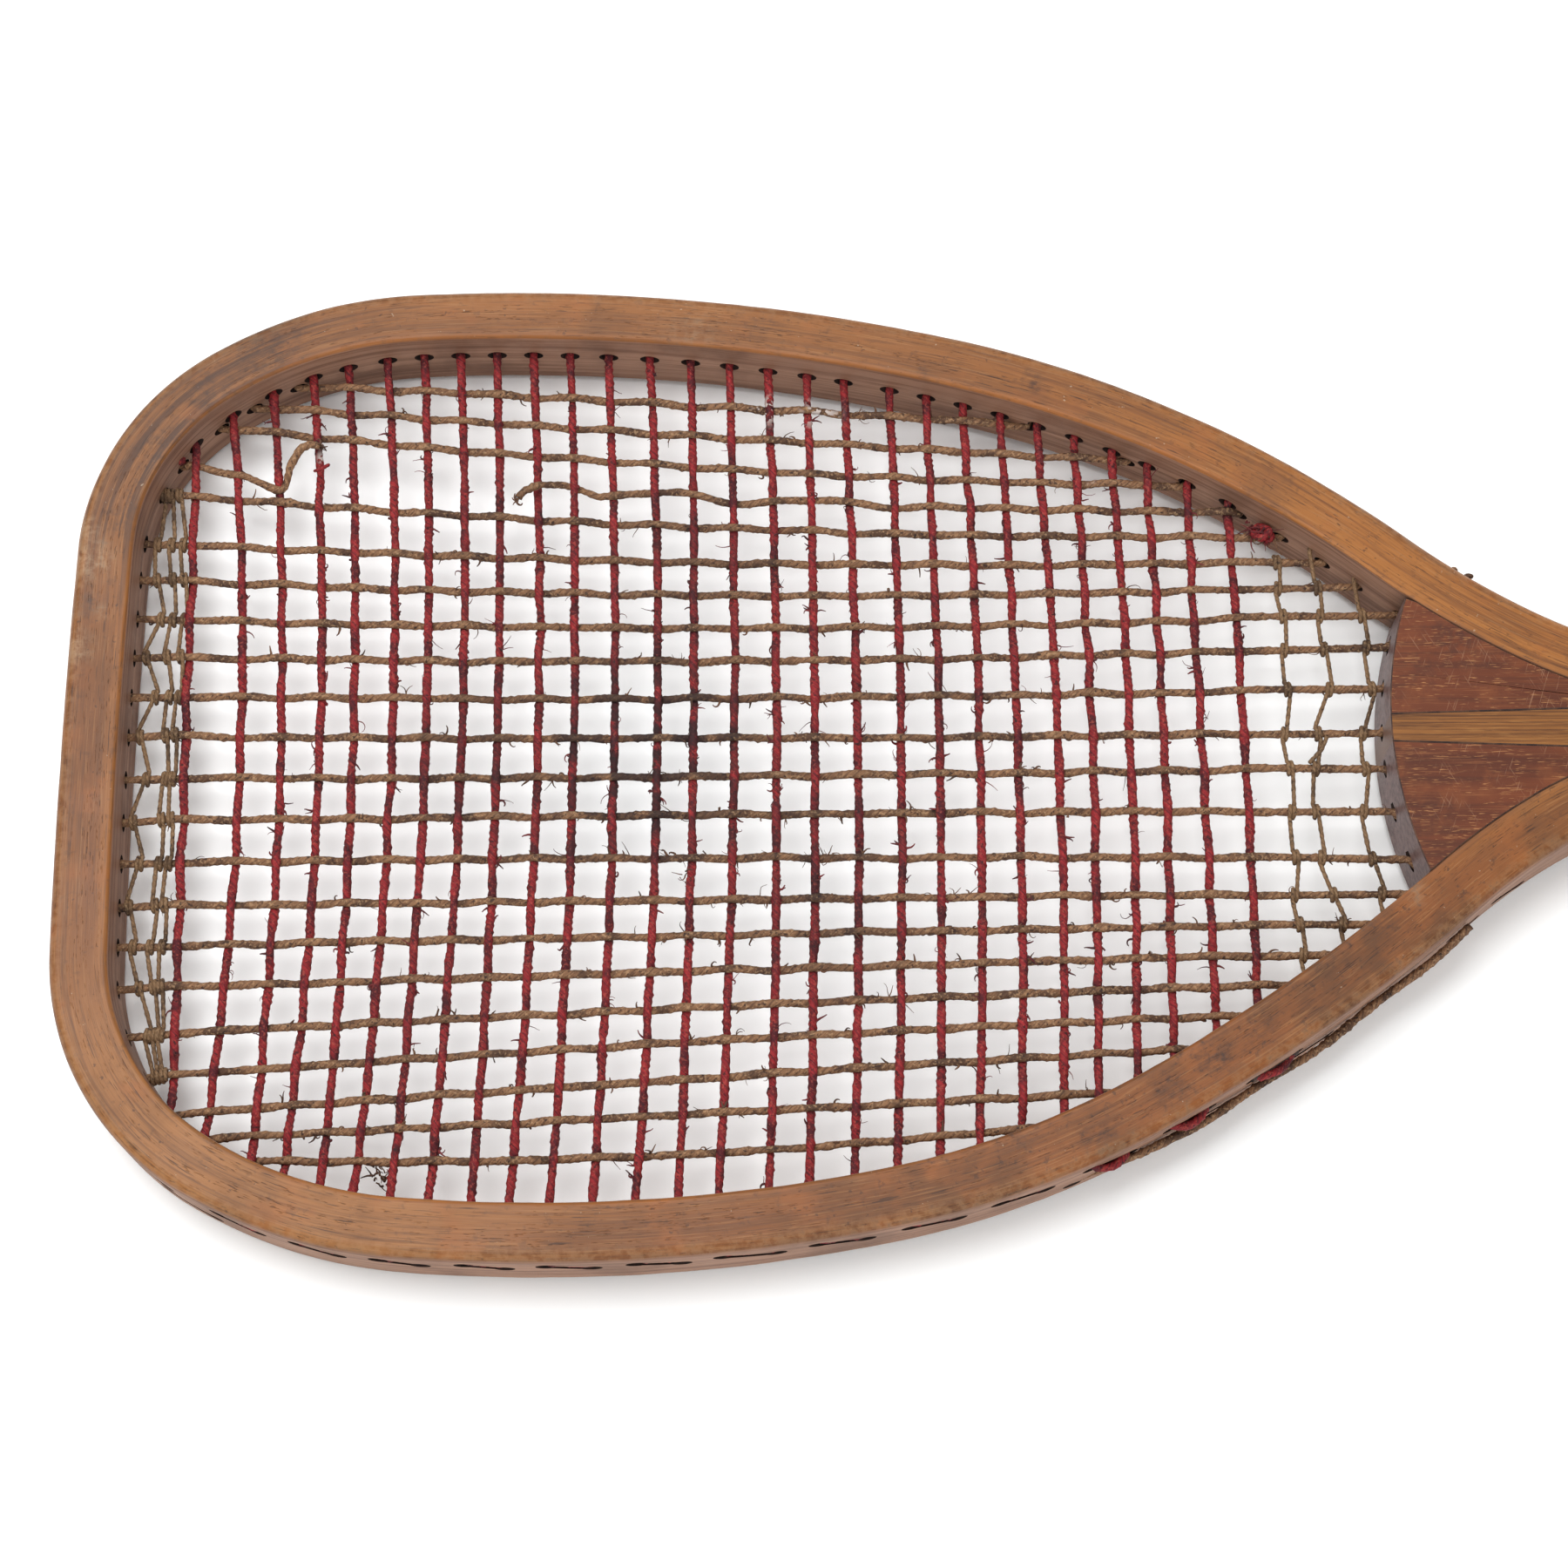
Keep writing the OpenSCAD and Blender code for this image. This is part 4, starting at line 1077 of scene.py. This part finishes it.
# ---- Frays, stubs and loose ends ----
def fray_spots(count, paths, focus):
    """Places on the strings for frays, more of them near the focus."""
    spots = []
    while len(spots) < count:
        path = paths[rng.integers(len(paths))]
        p = path[rng.integers(8, len(path) - 8)]
        keep = 0.4 + 0.6 * math.exp(-((p[0] - focus[0]) ** 2 + (p[1] - focus[1]) ** 2) / 2800)
        if rng.random() < keep:
            spots.append(p)
    return spots


def frays(name, spots, radius, material):
    parts = []
    for p in spots:
        a = rng.uniform(0, 2 * math.pi)
        out = np.array([math.cos(a), math.sin(a), rng.uniform(-0.3, 0.6)])
        for _ in range(rng.integers(1, 3)):
            d = out + rng.normal(0, 0.35, 3)
            thin = rng.random() < 0.35
            parts.append(hair(p + out * radius * 0.7, d, rng.uniform(1.3, 3.8 if thin else 2.7),
                              rng.uniform(0.1, 0.15) if thin else rng.uniform(0.19, 0.34),
                              rng.uniform(-5.5, 5.5)))
    string_piece(name, parts, material, None)


# bunches of frayed fibres: centre, count, length, radius, spread and the way they lean
RED_BURSTS = [
    ((102, 48.2, 1.0), 26, 3.4, 0.26, 1.1, (-0.6, -0.8, 0.5)),
    ((-131, 65.4, 1.6), 9, 1.8, 0.4, 0.5, (0, 0, 0)),
]
BROWN_BURSTS = [
    ((-100.4, 67.4, 3.0), 9, 1.6, 0.32, 0.35, (1, 0, 0)),
    ((-57.4, 55.2, 2.2), 6, 1.8, 0.3, 0.3, (-1, -0.6, 0)),
    ((104, 46.4, 0.6), 10, 3.2, 0.22, 0.8, (0.5, -1, 0.2)),
    ((-81.5, -92.0, -2.0), 10, 3.2, 0.24, 0.7, (0, 1, 0.4)),
    ((-79.5, -93.2, -1.0), 7, 2.6, 0.24, 0.5, (0, 0.6, 0.8)),
    ((-20, -30, 0.5), 9, 2.6, 0.16, 0.8, (0, 0, 0)),
    ((9.5, -25.5, 0.6), 9, 3.0, 0.16, 0.8, (0, 0, 0)),
]
SCRAP = [(-101.8, 62.2, 1.4), (-100.0, 62.5, 1.9), (-98.2, 63.8, 1.8)]
KNOT = [(101.2, 46.4, 0.6), (102.6, 49.0, 1.4), (104.2, 47.6, 2.2), (102.4, 46.0, 2.0), (100.6, 47.6, 1.0),
        (101.4, 49.6, 0.4), (103.6, 49.0, 0.8), (104.6, 46.6, 1.2), (103.0, 45.2, 1.0)]
RED_END = [(-131.6, 66.6, 0.9), (-130.9, 65.2, 1.3), (-130.4, 63.9, 1.2)]
END_HOLE_X = 136.5           # where two short ends stick out of the upper shoulder
RED_PITCH = 4.0              # of the red ends' twist


def bursts(name, table, material):
    parts = []
    for centre, count, length, radius, spread, lean in table:
        for _ in range(count):
            d = rng.normal(0, 1, 3) + np.array(lean)
            parts.append(hair(np.array(centre) + rng.normal(0, spread, 3), d, length * rng.uniform(0.6, 1.3),
                              radius * rng.uniform(0.6, 1.2), rng.uniform(-5, 5)))
    string_piece(name, parts, material, None)


def scrap(points, d, pitch, window=0.8, **shape):
    """A short loose length of gut."""
    return twisted(soften(points, window), d, pitch, 0.3, **shape)


def build_frays():
    mains = [main_bed(i) for i in MAINS if i != BROKEN]
    crosses = [cross_bed(j) for j in CROSSES]
    frays("main_frays", fray_spots(480, mains, (0, -5)), MAIN_D / 2, BROWN_FRAY)
    frays("cross_frays", fray_spots(540, crosses, (10, -10)), CROSS_D / 2, RED_FRAY)
    bursts("cross_loose_ends", RED_BURSTS, RED_FRAY)
    bursts("main_loose_ends", BROWN_BURSTS, BROWN_FRAY)
    x, y = beside(crossing(0, END_HOLE_X, highest, last), FRAME_WIDTH / 2)[0]
    thick = [(x, y - 0.8, 0.5), (x + 0.4, y + 1.6, 1.6), (x - 1.0, y + 3.4, 2.6)]
    thin = [(x + 0.4, y + 0.6, 1.2), (x + 2.6, y + 2.0, 1.6), (x + 3.8, y + 1.6, 1.6)]
    stub = [scrap(thick, MAIN_D, MAIN_PITCH, taper=0.6), scrap(thin, MAIN_D * 0.75, MAIN_PITCH, taper=0.6)]
    string_piece("main_stub", stub, BROWN, None)
    knot = [scrap(SCRAP, 0.8, RED_PITCH, sides=8, rough=0.15, taper=0.5),
            scrap(KNOT, CROSS_D * 0.85, RED_PITCH, rough=0.12, taper=0.6),
            scrap(RED_END, CROSS_D * 1.15, RED_PITCH, window=0.6, rough=0.12, taper=0.5)]
    string_piece("cross_knot", knot, RED, None)


# ---- The grip ----
BEVEL_GROWTH = 2 - math.sqrt(2)      # how much an octagon's bevels grow when its faces move out by 1
FACE_POINTS = [24, 16, 34, 16]       # of a narrow side, a bevel, a broad face and a bevel


def octagon(w, t, c):
    """The corners of an octagon of half width w and half thickness t with bevels c."""
    return np.array([(w, c - t), (w, t - c), (w - c, t), (c - w, t),
                     (-w, t - c), (-w, c - t), (c - w, -t), (w - c, -t)])


def grip_profile(w, t, c, depth):
    """The grip's octagon with combed grooves, as (y, z), and which of its points lie in a groove."""
    corners = octagon(w, t, c)
    out, groove = [], []
    for k, n in enumerate(FACE_POINTS * 2):
        a, v = corners[k], corners[(k + 1) % 8] - corners[k]
        normal = np.array([v[1], -v[0]]) / np.linalg.norm(v)
        g = np.arange(n) % 2
        out += [a + v * u - normal * depth * s for u, s in zip(np.linspace(0, 1, n, endpoint=False), g)]
        groove += list(g)
    return np.array(out), np.array(groove, float)


def build_grip():
    w1, t1, c1 = GRIP_WIDTH / 2, GRIP_THICKNESS / 2, GRIP_CORNER
    w0, t0, c0 = SHAFT_WIDTH / 2 + GRIP_LIP, TOP + GRIP_LIP, OUTER_EDGE
    band_x = BUTT_X - BAND_LENGTH
    xs = np.concatenate([[GRIP_X], GRIP_X + GRIP_TAPER * np.linspace(0.04, 1, 14),
                         np.linspace(GRIP_X + GRIP_TAPER, band_x, 24)[1:], [band_x + 0.01, BUTT_X]])
    profile = []
    for x in xs:
        f = float(ramp(x, GRIP_X, GRIP_X + GRIP_TAPER)) * 0.35 + 0.65 * min(1.0, (x - GRIP_X) / GRIP_TAPER)
        w, t, c = w0 + (w1 - w0) * f, t0 + (t1 - t0) * f, c0 + (c1 - c0) * f
        under = x > band_x
        cut_in = BAND_REBATE if under else 0.0
        depth = 0.0 if under else 0.16 * float(ramp(x, GRIP_X + 6, GRIP_X + 16))
        ring, groove = grip_profile(w - cut_in, t - cut_in, c - cut_in * BEVEL_GROWTH, depth)
        profile.append((x, ring, groove if depth > 0 else groove * 0))
    for node, broad, sign in (("grip_face_front", True, 1), ("grip_face_back", True, -1),
                              ("grip_side_upper", False, 1), ("grip_side_lower", False, -1)):
        rings, marks = [], []
        for x, ring, groove in profile:
            y, z = ring.T
            if broad:
                keep, across = z * sign > TOP, -y * sign
            else:
                keep, across = (y * sign > SHAFT_WIDTH / 2) & (np.abs(z) < TOP), z * sign
            order = np.argsort(across[keep])
            edge, g = ring[keep][order], groove[keep][order]
            fit, s = np.linspace(0, 1, 60 if broad else 44), np.linspace(0, 1, len(edge))
            line = np.column_stack([np.interp(fit, s, edge[:, 0]), np.interp(fit, s, edge[:, 1])])
            if broad:
                first, final = [[y + math.copysign(min(0.6, abs(z * sign - TOP)), y), TOP * sign]
                                for y, z in (edge[0], edge[-1])]
            else:
                line[0, 1], line[-1, 1] = -TOP * sign, TOP * sign
                first, final = [[sign * SHAFT_WIDTH / 2, level * sign] for level in (-TOP, TOP)]
            line = np.concatenate([[first], line, [final]])
            rings.append(np.column_stack([np.full(len(line), x), line]))
            marks.append(np.concatenate([[0], np.interp(fit, s, g), [0]]))
        points, faces, _ = skin(np.array(rings))
        uvs = corner_map(np.repeat(xs, len(marks[0])) * MM, np.concatenate(marks), faces)
        piece = new_piece(node + "_wood", points, faces, [GRIP_WOOD], uvs=uvs)
        piece.data.set_sharp_from_angle(angle=math.radians(28))
        declare(piece, node)


def octagon_ring(x, w, t, c, r=1.2, n=5):
    """Octagon with rounded corners, as a ring of points at x."""
    corners = octagon(w, t, c)
    ring = []
    for k, p in enumerate(corners):
        a, b = corners[k - 1], corners[(k + 1) % 8]
        va, vb = (a - p) / np.linalg.norm(a - p), (b - p) / np.linalg.norm(b - p)
        for u in np.linspace(0, 1, n):
            q0, q1 = p + va * r * (1 - u), p + vb * r * u
            ring.append(q0 * (1 - u) + q1 * u)
    dense = []
    for k, p in enumerate(ring):
        q = ring[(k + 1) % len(ring)]
        m = 4 if np.linalg.norm(q - p) > 3 else 1
        dense += [p + (q - p) * s / m for s in range(m)]
    return np.column_stack([np.full(len(dense), x), np.array(dense)])


BAND_FULL = BAND_THICKNESS - BAND_REBATE             # how far the band stands proud of the grip
BAND_SHAPE = [                                       # along the band in 24ths of it, and out from the grip
    (0.0, -BAND_REBATE + 0.02), (0.0, BAND_FULL - 0.5), (0.12, BAND_FULL - 0.2), (0.45, BAND_FULL - 0.02),
    (2.5, BAND_FULL), (6, BAND_FULL - 0.12), (12, BAND_FULL - 0.04), (18, BAND_FULL - 0.13),
    (21.5, BAND_FULL), (23.5, BAND_FULL - 0.02), (23.88, BAND_FULL - 0.2), (24.0, BAND_FULL - 0.5),
    (24.0, -BAND_REBATE + 0.02)]
TACK_SHAPE = [                                       # radius and height of a tack's rings
    (0.62, -5.5), (0.7, -0.35), (2.3, -0.25), (2.47, 0.0), (2.44, 0.18), (2.2, 0.48), (1.7, 0.86),
    (1.1, 1.13), (0.5, 1.26), (0.12, 1.29)]


def build_band():
    w, t, c = GRIP_WIDTH / 2, GRIP_THICKNESS / 2, GRIP_CORNER
    band_x = BUTT_X - BAND_LENGTH
    rings = [octagon_ring(band_x + dx * BAND_LENGTH / 24, w + grow, t + grow, c + grow * BEVEL_GROWTH)
             for dx, grow in BAND_SHAPE]
    points, faces, _ = skin(np.array(rings + rings[:1]), closed_ends=False)
    kept = len(points) - len(rings[0])               # the last ring is the first again
    band = new_piece("leather_band", points[:kept], [[k % kept for k in f] for f in faces], [LEATHER])
    band.data.set_sharp_from_angle(angle=math.radians(50))
    declare(band, "butt_band")

    # round-headed tacks, two on each narrow side, hammered a little out of true
    parts = []
    turn = np.linspace(0, 2 * np.pi, 28, endpoint=False)
    cos, sin = np.cos(turn), np.sin(turn)
    for side in (-1, 1):
        for dx in (-TACK_SPACING / 2, TACK_SPACING / 2):
            tilt = rng.normal(0, 0.03, 2)
            rings = []
            for r, h in TACK_SHAPE:
                hammered = 1 + (0.012 * np.sin(3 * turn + dx) if h > 0 else 0)
                lean = (r * cos * tilt[0] + r * sin * tilt[1]) * (h >= 0)
                rings.append(np.column_stack([r * hammered * cos, h + lean, r * hammered * sin]))
            rings = np.array(rings) * [1, side, 1]
            rings[..., 1] = np.where(rings[..., 1] * side > TACK_DOME, TACK_DOME * side, rings[..., 1])
            rings += [BUTT_X - BAND_LENGTH / 2 + dx, side * (w + BAND_FULL), 0]
            points, faces, _ = skin(rings)
            parts.append((points, faces, no_map(faces)))
    string_piece("brass_tacks", parts, BRASS, "butt_tacks")


# ---- Studio ----
def build_studio():
    """A pale floor that the crown and the grip both rest on, soft light and the camera."""
    look_at = to_row([[0, -12.5, TOP]])[0]
    grip_foot = to_row([[GRIP_X + GRIP_TAPER, 0, -GRIP_THICKNESS / 2]])[0]
    feet = [(grip_foot[0], grip_foot[2]), (band_low.x, band_low.z)]
    slope = max((hoop_low.z - z) / (x - hoop_low.x) for x, z in feet)
    size = 3.0
    mesh = bpy.data.meshes.new("floor")
    corners = [(sx * size, sy * size, hoop_low.z - slope * (sx * size - hoop_low.x))
               for sx, sy in ((-1, -1), (1, -1), (1, 1), (-1, 1))]
    mesh.from_pydata(corners, [], [(0, 1, 2, 3)])
    mesh.materials.append(paper())
    floor = bpy.data.objects.new("floor", mesh)
    bpy.context.scene.collection.objects.link(floor)

    world = bpy.data.worlds.new("studio")
    bpy.context.scene.world = world
    world.use_nodes = True
    world.node_tree.nodes["Background"].inputs["Color"].default_value = (1, 1, 1, 1)
    world.node_tree.nodes["Background"].inputs["Strength"].default_value = 0.51 * LIGHT

    for name, offset, power, width in (("key", (-0.36, 0.42, 1.4), 13.6, 1.1),
                                       ("fill", (0.2, -1.2, 0.9), 4.2, 1.4)):
        light = bpy.data.lights.new(name, "AREA")
        light.shape, light.size, light.energy = "DISK", width, power * LIGHT
        lamp = bpy.data.objects.new(name, light)
        lamp.location = look_at + np.array(offset)
        lamp.rotation_mode = "QUATERNION"
        lamp.rotation_quaternion = Vector(-np.array(offset)).to_track_quat("-Z", "Y")
        bpy.context.scene.collection.objects.link(lamp)

    lens = bpy.data.cameras.new("camera")
    lens.sensor_width = 36.0
    lens.lens = lens.sensor_width / 2 / math.tan(math.radians(15))
    elevation, distance = math.radians(70), 0.6
    camera = bpy.data.objects.new("camera", lens)
    camera.location = look_at + distance * np.array([0, -math.cos(elevation), math.sin(elevation)])
    camera.rotation_euler = (math.pi / 2 - elevation, 0, 0)
    bpy.context.scene.collection.objects.link(camera)
    bpy.context.scene.camera = camera
    bpy.context.scene.view_settings.view_transform = "Standard"


build_studio()
build_hoop()
build_throat()
build_mains()
build_crosses()
build_trebles()
build_frays()
build_grip()
build_band()
